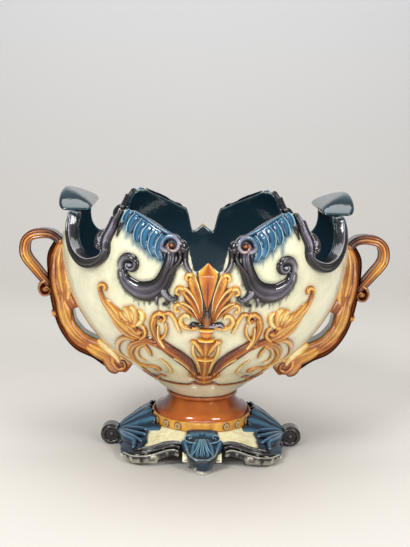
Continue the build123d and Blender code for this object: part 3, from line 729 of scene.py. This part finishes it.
# The C scroll and its volute over their black outlines, the volute under the crest, and the ragged foot
SCROLL = [(79.5, -6), (77.5, -15), (71.5, -22), (62, -26.5), (51.5, -25), (43.5, -19), (38.5, -10), (35, 0),
          (33.5, 9), (35, 15)]
VOLUTE = [(79.5, -8), *curl(71.8, -2.5, 8, 0, 400, 12)]
panel_scroll = moulded("panel_scroll", [
    stroke(SCROLL, (9, 11, 14, 16, 16, 14, 12.5, 11.5, 11, 9.5), (2.4,), INK, square=4),
    stroke(VOLUTE, (8.5, 8, 6, 4), (2.6,), INK, square=4),
    stroke(SCROLL, (6, 8, 11, 13, 13, 11, 9.5, 8.5, 8, 7), (5, 5.5, 6, 6, 6, 6, 6, 6, 6),
           (LAVENDER, LAVENDER, MANGANESE, LAVENDER), ribs=2, groove=0.45),
    stroke(VOLUTE, (6.5, 6, 4, 2.5), (5.5, 6, 5.5, 5), (LAVENDER, MANGANESE, LAVENDER)),
    boss(71.5, -2.5, 2.4, 6.5, LAVENDER),
    stroke([(38, -14), (33, -4), (27, 3), (25, 9), (27, 15)], (3, 5, 4.5, 4, 3), (5, 6, 6, 6), MANGANESE),
    stroke([(35.5, 12), *curl(33, 18, 9.5, -20, 420, 14, 0.3)], (5, 5.5, 5, 3.5), (6, 6.5, 6.5, 6),
           (LAVENDER, COBALT, LAVENDER, PLUM)),
    boss(33, 18, 2.4, 7.5, PLUM),
    stroke([(27, 23), (24.5, 19), (23, 15), (25, 11)], (6, 8, 7, 4), (5, 6, 6, 4), MANGANESE),
    stroke([(19.5, 17), (21, 8), (19.5, 0), (15, -6)], (3, 4.5, 4.5, 2.5), (4, 5, 5, 3.5),
           (MANGANESE, MANGANESE, LAVENDER)),
    stroke([(42, -22), (38, -28), (33, -32), (29, -31), (29.5, -27.5)], (6, 6.5, 5, 4, 2.5),
           (5.5, 5, 4.5, 4), (LAVENDER, MANGANESE)),
    stroke([(39, -25), (36, -31), (37, -37), (41, -37.5)], (4, 4.5, 3.5, 2), (5, 4.5, 3.5, 2.5), MANGANESE),
    stroke([(60, -31), (53, -31.5), (47, -31)], (3, 4, 2), (2.5, 3, 2), MANGANESE),
    stroke([(46, -29), (47, -35), (46, -39)], (4, 3, 1.2), (2.5, 2, 0.8), (LAVENDER, MANGANESE)),
    stroke([(52.5, -30), (53.5, -35), (53, -37)], (3.5, 2.5, 1.2), (2.5, 1.8, 0.8), MANGANESE),
])
on_four_sides(panel_scroll, "panel_scroll", manganese_glaze)

# Path, width and height of each flute; a pale line runs beside each, and rolls tie them along the rim
flutes = [([(38.5, 27), (43.5, 20), (45, 11), (41.5, 4)], (5, 8, 8, 4), (4, 4.5, 4, 2.5)),
          ([(44.5, 31), (50, 23.5), (51.5, 14), (48.5, 7)], (6, 9, 8, 3), (4, 4.5, 4, 2)),
          ([(51, 35), (57, 27), (58, 18), (56, 13)], (7, 9, 8, 4), (4, 4.5, 4, 2)),
          ([(57.5, 39), (63, 31), (65, 24), (64.5, 19)], (7, 9, 7, 4), (4, 4.5, 4, 2.5)),
          ([(64, 43), (69, 37), (71.5, 31), (72, 26)], (7, 8, 6, 4), (4, 4.5, 4, 2.5)),
          ([(70, 46), (74, 42), (76, 38), (77, 33)], (5, 6, 5, 3), (4, 4, 3.5, 2.5))]
panel_crest = moulded("panel_crest", [stroke(p, w, h, COBALT, square=3) for p, w, h in flutes] + [
    stroke([(x + 2.9, y + 0.8) for x, y in p], (0.8, 1.3, 1.3, 0.7), [v + 0.7 for v in h], FLUTE_EDGE)
    for p, w, h in flutes] + [
    stroke([(40, 13), (50, 24), (62, 32), (73, 39)], (12, 20, 18, 10), (2.2, 3.2, 3.2, 2), COBALT),
    stroke([(31, 25.5), (44, 32), (58, 40), (68, 45)], (3, 3.5, 3.5, 2.5), (4, 4.5, 4.5, 4),
           (COBALT, BASE_BLUE)),
    stroke([(38, 20), (47, 30), (60, 38), (72, 42)], (2, 5, 5, 2), (2.5, 3, 3, 2), COBALT),
])
on_four_sides(panel_crest, "panel_crest", blue_glaze)

# The roll round the bay, the pale line inside it, the curled head with its eye, and a drip
BAY = 50.0       # degrees from the front to a bay's middle
bay_band = moulded("bay_band", [
    stroke([(-36, 46), (-33.5, 38), (-31.5, 28), (-27.5, 17), (-27.5, 6), (-18, -3), (-4, -7.5), (12, -5.5),
            (26, 3), (36, 16), (41, 28), (43, 38)],
           (6, 9, 10, 10, 10, 11, 12, 12, 12, 12, 12, 10), (5, 6, 6, 6.5, 6.5, 7, 7, 7, 7, 7, 6.5, 5),
           (MANGANESE, LAVENDER, MANGANESE, MANGANESE, MANGANESE, MANGANESE, BASE_BLUE), ribs=3, groove=0.4,
           sink=3, turn=BAY),
    stroke([(-29.5, 39), (-27, 29), (-21.5, 16), (-24.5, 5), (-12, -1), (1, -2.5), (16, 2), (27, 11),
            (34, 23), (37, 34)], (2.2,), (5.5,), PALE_GREY, sink=5, turn=BAY),
    stroke([(-25, 8), (-20, 12), (-19.5, 19), (-23, 25), (-27, 24)], (7, 7, 7, 6, 4), (7, 8, 8, 7, 5),
           MANGANESE, sink=6, turn=BAY),
    stroke([(-21.5, 13), (-21.5, 21)], (4.5,), (9,), LAVENDER, turn=BAY),
    stroke([(-41, 38), (-39, 30), (-37.5, 22)], (3, 4, 1.5), (2, 2.5, 1), MANGANESE, turn=BAY),
])
on_four_sides(bay_band, "bay_band", manganese_glaze)


CREST_BASE, CREST_FADE = 258, 14     # the crest darkens below that height, over that much


def crest_brush(co, normal, bend):
    tone = 0.35 + 0.5 * cloud(co, 14) + 0.2 * cloud(co, 6, 3)
    colour = mix(plain(CREST_DEEP, len(co)), CREST_TEAL, tone)
    # painted highlight: the crest's convex edges turn pale teal-grey
    colour = mix(colour, CREST_HIGHLIGHT, (bend - 0.5) * 0.25)
    return mix(colour, CREST_ROOT, (CREST_BASE - co[:, 2]) / CREST_FADE)


end_crest = paint(cast("end_crest_right", 1.4, 60), crest_brush)
on_two_sides(end_crest, "end_crest", ("right", "left"), -1, 1, blue_glaze)


# Handles

# Where the strap's glaze turns, and over how much: russet at its outer edge, gold near the bowl, russet tip
STRAP_OUTER, STRAP_INNER, STRAP_TIP = (152, 8), (120, 20), (95, 8)


def strap_brush(co, normal, bend):
    in_the_gap = (np.abs(normal[:, 1]) < 0.5) & (normal[:, 0] < 0)
    tone = 0.55 + 0.3 * cloud(co, 12) + bend * 0.4
    colour = ramp(tone, AMBER)
    (outer, outer_fade), (inner, inner_fade), (tip, tip_fade) = STRAP_OUTER, STRAP_INNER, STRAP_TIP
    colour = mix(colour, ramp(tone, RUSSET), (co[:, 0] - outer) / outer_fade + cloud(co, 10, 2) * 0.5)
    colour = mix(colour, ramp(tone, GOLD), (inner - co[:, 0]) / inner_fade)
    colour = mix(colour, ramp(tone, RUSSET), (tip - co[:, 2]) / tip_fade)
    return np.where(in_the_gap[:, None], ramp(tone, OLIVE), colour)


# Acanthus of the strap's faces, from the top down: path, width, height, glaze and grooves of each leaf
leaf_face = [
    ([(150, -2), (153, -18), (152, -36), (149, -54)], (5, 9, 9, 5), (2, 3, 3, 2), (GOLD, AMBER, GOLD),
     dict(ribs=3, groove=0.5)),
    ([(157, -14), (158.5, -30), (157, -48), (153, -64)], (3, 4, 4, 3), (2, 2.5, 2.5, 2),
     (PLUM, RUSSET, AMBER), {}),
    ([(147, -20), (144.5, -32), (145, -44)], (3, 5, 2), (2, 2.5, 1.5), (GOLD, PALE_GOLD), {}),
    ([(146, -38), (142.5, -50), (144, -62)], (3, 5, 2), (2, 2.5, 1.5), (AMBER, GOLD), {}),
    ([(152, -54), (150, -70), (145, -86), (136, -99), (124, -109)], (4, 6, 6, 5, 4), (2, 3, 3, 2.5, 2),
     (AMBER, GOLD, GOLD, AMBER), dict(ribs=2, groove=0.5)),
    ([(148, -62), (143, -74), (141, -84)], (3, 5, 2), (2, 2.5, 1.5), (AMBER, RUSSET), {}),
    ([(124, -110), (112, -117), (102, -122), (95, -129), (90, -136)], (5, 7, 8, 8, 6), (2, 3, 3, 3, 2),
     (GOLD, GOLD, AMBER, PLUM), dict(ribs=2, groove=0.5)),
    ([(112, -104), (104, -112), (96, -120), (88, -130)], (4, 6, 6, 4), (2, 2.5, 2.5, 2),
     (GOLD, PALE_GOLD, GOLD), {}),
    ([(106, -121), (102, -128), (97, -136), (90, -139.5)], (3, 5, 5, 3), (2, 2.5, 2.5, 2), (AMBER, PLUM), {}),
    ([(97, -122), (95, -131), (89, -136), (83, -133), (85, -127), (89, -129)], (3, 3.5, 3.5, 3, 2),
     (3, 3.2, 3.2, 3), (AMBER, RUSSET, PLUM), {}),
]
STRAP_FACE, LEAF_WIDER = 11.6, 1.9       # how far a face is from the middle, and how much its leaves spread
strap_strokes = [stroke(p, [LEAF_WIDER * v for v in w], h, g, carry=upright(s * STRAP_FACE, s), **k)
                 for s in (-1, 1) for p, w, h, g, k in leaf_face]
strap_strokes += [
    stroke([(153, 0), (160, -14), (160, -32), (158.5, -50), (153.5, -76), (146, -95), (133, -111),
            (114, -120.5), (98, -133)],
           (16, 20, 22, 22, 20, 20, 20, 20, 16), (2.5,), (RUSSET, AMBER, AMBER, RUSSET), ribs=5, groove=0.7,
           carry=outward, lift=-2.3, sink=3)]
strap = join("strap", paint(cast("handle_strap_right", 1.5, 20), strap_brush),
             moulded("strap_leaf", strap_strokes))
on_two_sides(strap, "handle_strap", ("right", "left"), -1, 1, amber_glaze)

LOOP_FACE = 6.8          # from the loop's middle to its faces
loop_path = [(146, -8), (158, 4.5), (167, 7.5), (176, 7), (184, 4.5), (189, -1.5), (190, -12), (186.5, -20),
             (179, -29), (172.5, -37), (167, -43), (163, -48)]
loop = moulded("loop", [
    stroke(loop_path, (16, 17, 17, 17, 17, 17, 17, 17, 16, 15, 13, 10), (5,),
           (BASE_BLUE, PLUM, PLUM, PLUM, AMBER, AMBER, PLUM), ribs=3, groove=0.35, sink=5,
           square=5, carry=outward)] + [
    stroke(loop_path, (8, 9.5, 10, 10.5, 10.5, 10.5, 10.5, 10.5, 10, 9.5, 9, 7), (3.2,),
           (BASE_BLUE, PLUM, AMBER, AMBER, GOLD, AMBER, PLUM), ribs=3, groove=0.6, sink=3,
           carry=upright(s * LOOP_FACE, s)) for s in (-1, 1)])
on_two_sides(loop, "handle_loop", ("right", "left"), -1, 1, honey_glaze)

curl_ball = moulded("curl_ball", [
    stroke([(166, -41), (172.5, -45), (174.6, -51.5), (171, -57.5), (165, -57), (163, -52), (166.5, -48.8),
            (169.3, -51.5)], (4.5, 5, 5, 5, 4.5, 4, 3.5, 2.5), (9, 9.6, 9.8, 9.8, 9.8, 9.6, 9.8, 9.6),
           (AMBER, PLUM, PLUM, AMBER), carry=upright(0, s), sink=0.5)
    for s in (-1, 1)] + [boss(168, -51.8, 5.4, 8, PLUM, carry=upright(0, s)) for s in (-1, 1)])
on_two_sides(curl_ball, "handle_curl", ("right", "left"), -1, 1, honey_glaze)

bead = moulded("bead", [boss(157.6, -77.4, 5.2, 9.5, AMBER, carry=upright(0, s)) for s in (-1, 1)])
on_two_sides(bead, "strap_bead", ("right", "left"), -1, 1, amber_glaze)


# The pedestal

STEM_SIDE, STEM_LOW, STEM_FADE = 0.66, 40, 12    # painted shade: plum darkens the stem from that share of the side on; russet low down


def stem_brush(co, normal, bend):
    side = np.abs(co[:, 0]) / np.hypot(co[:, 0], co[:, 1])
    tone = 0.62 + 0.25 * cloud(co, 18)
    colour = ramp(tone, ORANGE)
    # painted shade: the stem darkens to plum towards its sides in x
    colour = mix(colour, ramp(tone, STEM_SHADE_PLUM), (side - STEM_SIDE) * 2.6 + cloud(co, 22, 4) * 0.45)
    return mix(colour, ramp(tone, RUSSET), (STEM_LOW - co[:, 2]) / STEM_FADE)


for node in ("stem", "foot_ring"):
    dress(paint(cast(node, 1.2, 3), stem_brush), node, orange_glaze)


ROUNDELS, FIRST_ROUNDEL, LAST_ROUNDEL = 9, 27.6, 152.4      # on each half of the collar, in degrees
ROUNDEL_RADIUS, ROUNDEL_HEIGHT = 56, 35.0
RINGS, ROUNDEL_FACE = ((3.9, 0.9), (1.3, 0.8)), 3.6         # its rings' radius and breadth, its pale face
COLLAR_TOP, COLLAR_FOOT = 38.4, 31.2                        # its edges are brown beyond these heights


def collar_brush(co, normal, bend):
    colour = ramp(0.62 + 0.3 * cloud(co, 6), GOLD)
    for side in (0, 180):
        for k in range(ROUNDELS):
            a = math.radians(FIRST_ROUNDEL + k * (LAST_ROUNDEL - FIRST_ROUNDEL) / (ROUNDELS - 1) - 90 + side)
            centre = np.array([math.cos(a) * ROUNDEL_RADIUS, math.sin(a) * ROUNDEL_RADIUS, ROUNDEL_HEIGHT])
            d = np.linalg.norm(co - centre, axis=1)
            rings = sum(np.exp(-((d - radius) / breadth) ** 2) for radius, breadth in RINGS)
            colour = mix(colour, RING_PALE, 0.7 * np.exp(-(d / ROUNDEL_FACE) ** 4))
            colour = mix(colour, RING_BROWN, rings)
    return mix(colour, COLLAR_EDGE, (co[:, 2] - COLLAR_TOP) / 2 + (COLLAR_FOOT - co[:, 2]) / 2)


dress(paint(cast("collar", 0.8, 1), collar_brush), "collar", gold_glaze)


BLUE_FROM, BLUE_SLANT = 52, 0.35     # blue starts that far out at the slope's top, and further out below


def skirt_brush(co, normal, bend):
    r = np.hypot(co[:, 0], co[:, 1])
    colour = ramp(0.6 + 0.25 * cloud(co, 4) + 0.3 * bend, CREAM)
    dark = ramp(0.5 + 0.3 * cloud(co, 9, 1), SLATE)
    under_slope = (slope_height(r) - co[:, 2] - 1.5) / 2 + cloud(co, 7, 5) * 0.6
    colour = mix(colour, dark, under_slope * (bend < 0.5))
    blue = ramp(0.5 + 0.3 * cloud(co, 9, 2) + 0.4 * bend, BASE_BLUE)
    edge = BLUE_FROM + (SLOPE_TOP - co[:, 2]) * BLUE_SLANT
    beside_wing = (np.abs(co[:, 0]) - edge + cloud(co, 6, 8) * 2) / 2
    return mix(colour, blue, beside_wing)


dress(paint(cast("base_skirt", 1.4, 3), skirt_brush), "base_skirt", cream_glaze)


FOOT_WORN, FOOT_FADE = 4.5, 2.5      # glaze is worn off below that height and thins out over that much more


def dark_brush(glaze):
    """A brush for the dark parts of the base, which are worn pale where they stand."""
    def brush(co, normal, bend):
        tone = 0.5 + 0.3 * cloud(co, 8) + 0.5 * bend
        worn = (FOOT_WORN - co[:, 2]) / FOOT_FADE + cloud(co, 5, 9) * 1.1
        return mix(ramp(tone, glaze), WORN_FOOT, worn * 0.8)
    return brush


# Ribs that spread from the knob over the wing to the collar, and lower ones down the base's slope
wing = join("wing", paint(cast("side_wing_right", 1.2, 4), dark_brush(BASE_BLUE)), moulded("wing_ribs", [
    stroke([(89, a * 0.8), (78, a), (66, a * 1.02), (end, a * 1.03)], (3, 7, 12, 17), (1.5, 2.4, 2.6, 0.8),
           BASE_BLUE, carry=on_wing, lift=-1, sink=4)
    for a, end in ((-64, 45), (-46, 50), (-28, 54), (-10, 56), (10, 56), (28, 54), (46, 50), (64, 45))] + [
    stroke([(90, m * 7), (80, m * a), (70, m * b), (c, m * d)], (5, 8, 9, 5), (3, 4.5, 4.5, 2.5), BASE_BLUE,
           carry=on_skirt)
    for m in (1, -1)
    for a, b, c, d in ((12, 22, 57, 33), (19, 32, 58, 42), (26, 41, 62, 51), (33, 48, 71, 58))]))
on_two_sides(wing, "side_wing", ("right", "left"), -1, 1, blue_glaze)

KNOB_X, KNOB_RISE, KNOB_RING, KNOB_FACE = 97, -210, 8.5, 8.2


def knob_face(side):
    """The rolled ring and the boss on one face of a knob."""
    ring = [(KNOB_X + KNOB_RING * math.cos(q), KNOB_RISE + KNOB_RING * math.sin(q))
            for q in np.linspace(-2.6, 3.4, 12)]
    on_face = upright(side * KNOB_FACE, side)
    return (stroke(ring, (4, 5, 5, 4, 3), (1.5, 2.2, 2.2, 1.5), MANGANESE, carry=on_face),
            boss(KNOB_X, KNOB_RISE, 3, 2, MANGANESE, carry=on_face))


rings, bosses = zip(knob_face(-1), knob_face(1))
knob = join("knob", paint(cast("side_knob_right", 1.0, 4), dark_brush(MANGANESE)),
            moulded("knob_roll", [*rings, *bosses]))
on_two_sides(knob, "side_knob", ("right", "left"), -1, 1, manganese_glaze)

# Thin lines over the shell's ribs, the light volutes, the bar over them, the sides, the lip and the jewel
toe_fan = [stroke([(m * 0.22, -68), (m * 0.42, -76), (m * 0.8, -84), (m * 1.15, -88.5)],
                  (1.1, 1.3, 1.4, 0.9), (1.5, 2, 2, 1), THIN_BLUE, carry=on_skirt, lift=5)
           for m in (-9, -5.5, -2, 2, 5.5, 9)]
toe_fan += [stroke([(m * 0.4, -66), (m * 0.8, -78), (m, -91)], (5, 8, 7), (3, 4.5, 2), BASE_BLUE,
                   carry=on_skirt, lift=2.5)
            for m in (-11, -5.5, 0, 5.5, 11)]
toe_fan += [stroke([(m * x, y) for x, y in [(6, -74), (12, -73), *curl(12.5, -66.5, 5.5, -70, 300, 12)]],
                   (1.1, 1.5, 1.5, 1.1), (1.5, 2, 2, 1.5), THIN_BLUE, carry=on_skirt, lift=5.2)
            for m in (-1, 1)]
toe_fan += [stroke([(-18, -63), (-9, -61.5), (0, -61), (9, -61.5), (18, -63)], (10, 14, 15, 14, 10), (5.5,),
                   BASE_BLUE, carry=on_skirt, square=4)]
toe_fan += [stroke([(m * 18, -65), (m * 17, -73), (m * 14, -82)], (8, 9, 8), (5.5, 6, 5), BASE_BLUE,
                   carry=on_skirt)
            for m in (-1, 1)]
toe_fan += [stroke([(-15, -80), (-12.5, -88), (-7, -92.5), (0, -94), (7, -92.5), (12.5, -88), (15, -80)],
                   (4, 5, 5.5, 6, 5.5, 5, 4), (3.5,), LIP_BLUE, carry=on_skirt, lift=1.5, sink=4),
            boss(0, -61.5, 3.2, 3, COBALT, carry=on_skirt, lift=5)]

# The toe keeps these shares of its width on the floor and at the top, and grows between them over that rise
TOE_FOOT, TOE_TOP, TOE_RISE, TOE_GROWTH = 0.5, 0.92, 14, 0.42


def tapered(piece):
    """Draws the toe in towards the floor, as the shell ends in a small rounded foot."""
    co = places_of(piece)
    co[:, 0] *= np.clip(TOE_FOOT + co[:, 2] / TOE_RISE * TOE_GROWTH, TOE_FOOT, TOE_TOP)
    return put_places(piece, co)


toe = join("toe", paint(tapered(cast("toe_shell_front", 1.1, 16)), dark_brush(BASE_BLUE)),
           moulded("toe_fan", toe_fan))
on_two_sides(wear(toe, 0.0), "toe_shell", ("front", "back"), 1, -1, blue_glaze)


def sunk(piece, keep, share):
    """Lets a piece down so that only a share of what stands over the skirt by more than keep stays."""
    co = places_of(piece)
    over = co[:, 2] - slope_height(np.hypot(co[:, 0], co[:, 1])) - keep
    co[:, 2] -= np.clip(over, 0, None) * (1 - share)
    return put_places(piece, co)


# Three strands from the toe shell to the corner; the lowest is rubbed pale
arm_rope = [
    stroke([(19, -69), (28, -66), (38, -65), (50, -66), (62, -65), (72, -61)], (5, 6, 6, 6, 6, 4),
           (3, 4, 4, 4, 4, 2), MANGANESE, ribs=2, groove=0.5, twist=1, carry=on_skirt),
    stroke([(22, -74), (30, -70), (40, -70), (52, -71), (66, -69), (76, -62)], (4, 5, 5, 5, 5, 4),
           (3, 3.5, 3.5, 3.5, 3, 2), MANGANESE, carry=on_skirt),
    stroke([(24, -78), (30, -75), (38, -75.5), (48, -77), (60, -76), (72, -70), (82, -58)],
           (3, 4, 4, 4.5, 5, 5, 4), (2.5, 3, 3, 3, 3, 3, 2), RUBBED_BLACK, carry=on_skirt, lift=-1, sink=4)]
arm = join("arm", paint(sunk(cast("base_arm_front_right", 1.0, 3), -1.5, 0.2), dark_brush(MANGANESE)),
           moulded("arm_rope", arm_rope))
on_four_sides(wear(arm, 0.25), "base_arm", manganese_glaze)

foot = paint(cast("corner_foot_front_right", 1.1, 14), dark_brush(MANGANESE))
on_four_sides(wear(foot, 0.35), "corner_foot", manganese_glaze)


# The bowl, last of the pottery, because its cream glaze takes colour from the relief beside it

RELIEF = ("palmette", "stalk", "branch", "leaf_spray", "lower_scroll", "panel_scroll", "panel_crest",
          "bay_band", "handle_strap")
NOT_NEAR = 99.0          # a gap in millimetres at which nothing of a colour is left
INNER_DEPTH = 1.6        # the dark glaze starts this deep behind the outer face
CONE_START = 63          # lowest height that the wall's formula serves
RIM_HEIGHT = 205         # painted rim edges show above this: a pale painted highlight on the inside, a greyer line on the cream
# A soft wash round the relief, then the line where it meets the wall: drip, reach, strength
WASHES = ((1.0, 7.0, 0.3), (0.0, 1.5, 0.6))
# Glazes that ran down from a piece: colour, reach, strength, longest run, breadth of a run
RUNS = (("panel_crest", "#1F5E78", 3.2, 0.75, 9.0, 4), ("panel_scroll", "#1A171B", 1.1, 0.9, 7.0, 2.2))
RUNS_FROM = 175
UPRIGHT_STREAKS = np.array([1, 1, 0.15])
SHORT_STREAKS = np.array([1, 1, 0.3])


def gather(prefixes):
    """Places and colours of the finished pieces whose names start so."""
    pieces = [piece for node, piece in dressed.items() if node.startswith(prefixes)]
    return np.vstack([places_of(piece) for piece in pieces]), np.vstack([glaze_of(piece) for piece in pieces])


def search_tree(places):
    tree = kdtree.KDTree(len(places))
    for i, p in enumerate(places):
        tree.insert(p, i)
    tree.balance()
    return tree


def bowl_brush(co, normal, bend):
    count = len(co)
    inside = np.hypot(co[:, 0], co[:, 1]) < wall_radius(np.maximum(co[:, 2], CONE_START)) - INNER_DEPTH
    places, colours = gather(RELIEF)
    tree = search_tree(places)
    cream = mix(plain(CREAM_FIELD, count), GREEN_TINT, 0.3 + 0.6 * cloud(co, 30))
    streaks = np.clip(2 + 6 * cloud(co * SHORT_STREAKS, 5, 6), 0, None)
    for drip, reach, strength in WASHES:
        probe = co + np.array([0, 0, 1]) * (streaks * drip)[:, None]
        gap, near = np.full(count, NOT_NEAR), np.zeros(count, int)
        for i in np.nonzero(~inside)[0]:
            _, near[i], gap[i] = tree.find(probe[i])
        wash = colours[near] * 0.7 + 0.3 * cream if drip else colours[near] * 0.6
        cream = mix(cream, wash, strength * np.exp(-(gap / reach) ** 2))
    for piece, colour, reach, strength, longest, breadth in RUNS:
        tree = search_tree(gather((piece,))[0])
        run = longest * np.clip(0.3 + cloud(co * UPRIGHT_STREAKS, breadth, 11), 0, 1)
        gap = np.full(count, NOT_NEAR)
        for i in np.nonzero(~inside & (co[:, 2] > RUNS_FROM))[0]:
            gap[i] = min(tree.find(co[i] + np.array([0, 0, run[i] * k]))[2] for k in (0, 0.5, 1))
        cream = mix(cream, colour, strength * np.exp(-(gap / reach) ** 2))
    at_rim = co[:, 2] > RIM_HEIGHT
    dark = mix(plain(INSIDE, count), INSIDE_LIGHT, 0.5 + 0.5 * cloud(co, 40))
    # painted highlight: the dark inside turns pale grey-green along the rim's convex edges
    dark = mix(dark, INSIDE_RIM_HIGHLIGHT, (bend - 0.5) * 1.1 * at_rim)
    cream = mix(cream, PALE_EDGE, (bend - 0.45) * 0.8 * at_rim)
    return np.where(inside[:, None], dark, cream)


bowl = cast("bowl", 1.6, 3)
paint(bowl, bowl_brush)
dress(bowl, "bowl", cream_glaze)


# Floor, light and camera

# painted light on the paper: its tone on the floor and at the top
PAPER_FLOOR, PAPER_TOP, PAPER_SHADE_HEIGHT = "#C6C2BC", "#D8DADE", 0.9
SWEEP_LENGTH, SWEEP_FRONT, SWEEP_WIDTH = 5.0, 1.6, 2.5       # metres; the width is to each side
BEND_START, BEND_RADIUS = 0.9, 0.9


def backdrop_paint():
    """Matt paper with painted light: darker and warmer on the floor, lightening as it rises behind the cup.
    """
    material = bpy.data.materials.new("backdrop_paper")
    material.use_nodes = True
    tree = material.node_tree
    shader = tree.nodes["Principled BSDF"]
    place = put(tree, "ShaderNodeSeparateXYZ", {"Vector": put(tree, "ShaderNodeTexCoord").outputs["Object"]})
    # painted light: the paper's tone follows its height
    height = put(tree, "ShaderNodeMapRange", {"Value": place.outputs["Z"], "From Min": 0.0,
                                              "From Max": PAPER_SHADE_HEIGHT, "To Min": 0.0, "To Max": 1.0})
    tone = put(tree, "ShaderNodeValToRGB", {"Fac": height.outputs["Result"]})
    for stop, colour in zip(tone.color_ramp.elements, (PAPER_FLOOR, PAPER_TOP)):
        stop.color = (*linear(colour), 1)
    tree.links.new(tone.outputs["Color"], shader.inputs["Base Color"])
    shader.inputs["Roughness"].default_value = 0.9
    return material


def paper_sweep():
    """A sheet that lies flat under the cup and curves up behind it."""
    bpy.ops.object.select_all(action="DESELECT")
    bpy.ops.mesh.primitive_grid_add(x_subdivisions=4, y_subdivisions=60, size=2, location=(0, 0, 0))
    sweep = bpy.context.object
    sweep.name = "paper_sweep"
    co = read(sweep.data, "co", 3)
    run = (co[:, 1] + 1) / 2 * SWEEP_LENGTH - SWEEP_FRONT
    angle = np.clip((run - BEND_START) / BEND_RADIUS, 0, math.pi / 2)
    rise = np.clip(run - BEND_START - BEND_RADIUS * math.pi / 2, 0, None)
    co[:, 0] *= SWEEP_WIDTH
    co[:, 1] = np.where(run < BEND_START, run, BEND_START + BEND_RADIUS * np.sin(angle))
    co[:, 2] = BEND_RADIUS * (1 - np.cos(angle)) + rise
    sweep.data.vertices.foreach_set("co", co.astype(np.float32).ravel())
    bpy.ops.object.shade_smooth()
    sweep.data.materials.append(backdrop_paint())
    return sweep


sweep = paper_sweep()


def softbox(name, place, height, size, power):
    """A rectangular lamp of that size in metres and power in watts, aimed at a height over the middle."""
    lamp = bpy.data.lights.new(name, "AREA")
    lamp.shape, lamp.size, lamp.size_y = "RECTANGLE", size[0], size[1]
    lamp.energy = power
    holder = bpy.data.objects.new(name, lamp)
    bpy.context.scene.collection.objects.link(holder)
    holder.location = place
    holder.rotation_euler = (Vector((0, 0, height)) - Vector(place)).to_track_quat("-Z", "Y").to_euler()


softbox("key", (-0.9, -1.4, 1.5), 0.15, (0.6, 0.6), 30)
softbox("fill", (1.1, -1.4, 1.3), 0.15, (0.6, 0.6), 20)
softbox("top", (0, 0.1, 1.9), 0.1, (1.6, 1.2), 26)
softbox("low", (0, -1.7, 0.12), 0.12, (1.8, 0.25), 9)
world = bpy.data.worlds.new("studio")
bpy.context.scene.world = world
world.use_nodes = True
world.node_tree.nodes["Background"].inputs["Color"].default_value = (*linear("#F2F2F2"), 1)
world.node_tree.nodes["Background"].inputs["Strength"].default_value = 0.3

# The photograph's view: place in metres, turns in degrees, lens and sensor in millimetres
VIEWPOINT = (-0.0225, -1.02805, 0.3676)
HEADING, TILT, ROLL = -1.28, 80.12, 1.34
SENSOR, LENS = 36, 64.52
camera = bpy.data.cameras.new("camera")
camera.sensor_width, camera.sensor_fit, camera.lens = SENSOR, "AUTO", LENS
viewer = bpy.data.objects.new("camera", camera)
bpy.context.scene.collection.objects.link(viewer)
look = Matrix.Identity(4)
for degrees, axis in ((HEADING, "Z"), (TILT, "X"), (ROLL, "Z")):
    look = look @ Matrix.Rotation(math.radians(degrees), 4, axis)
viewer.matrix_world = Matrix.Translation(VIEWPOINT) @ look
bpy.context.scene.camera = viewer
bpy.context.scene.view_settings.view_transform = "Standard"
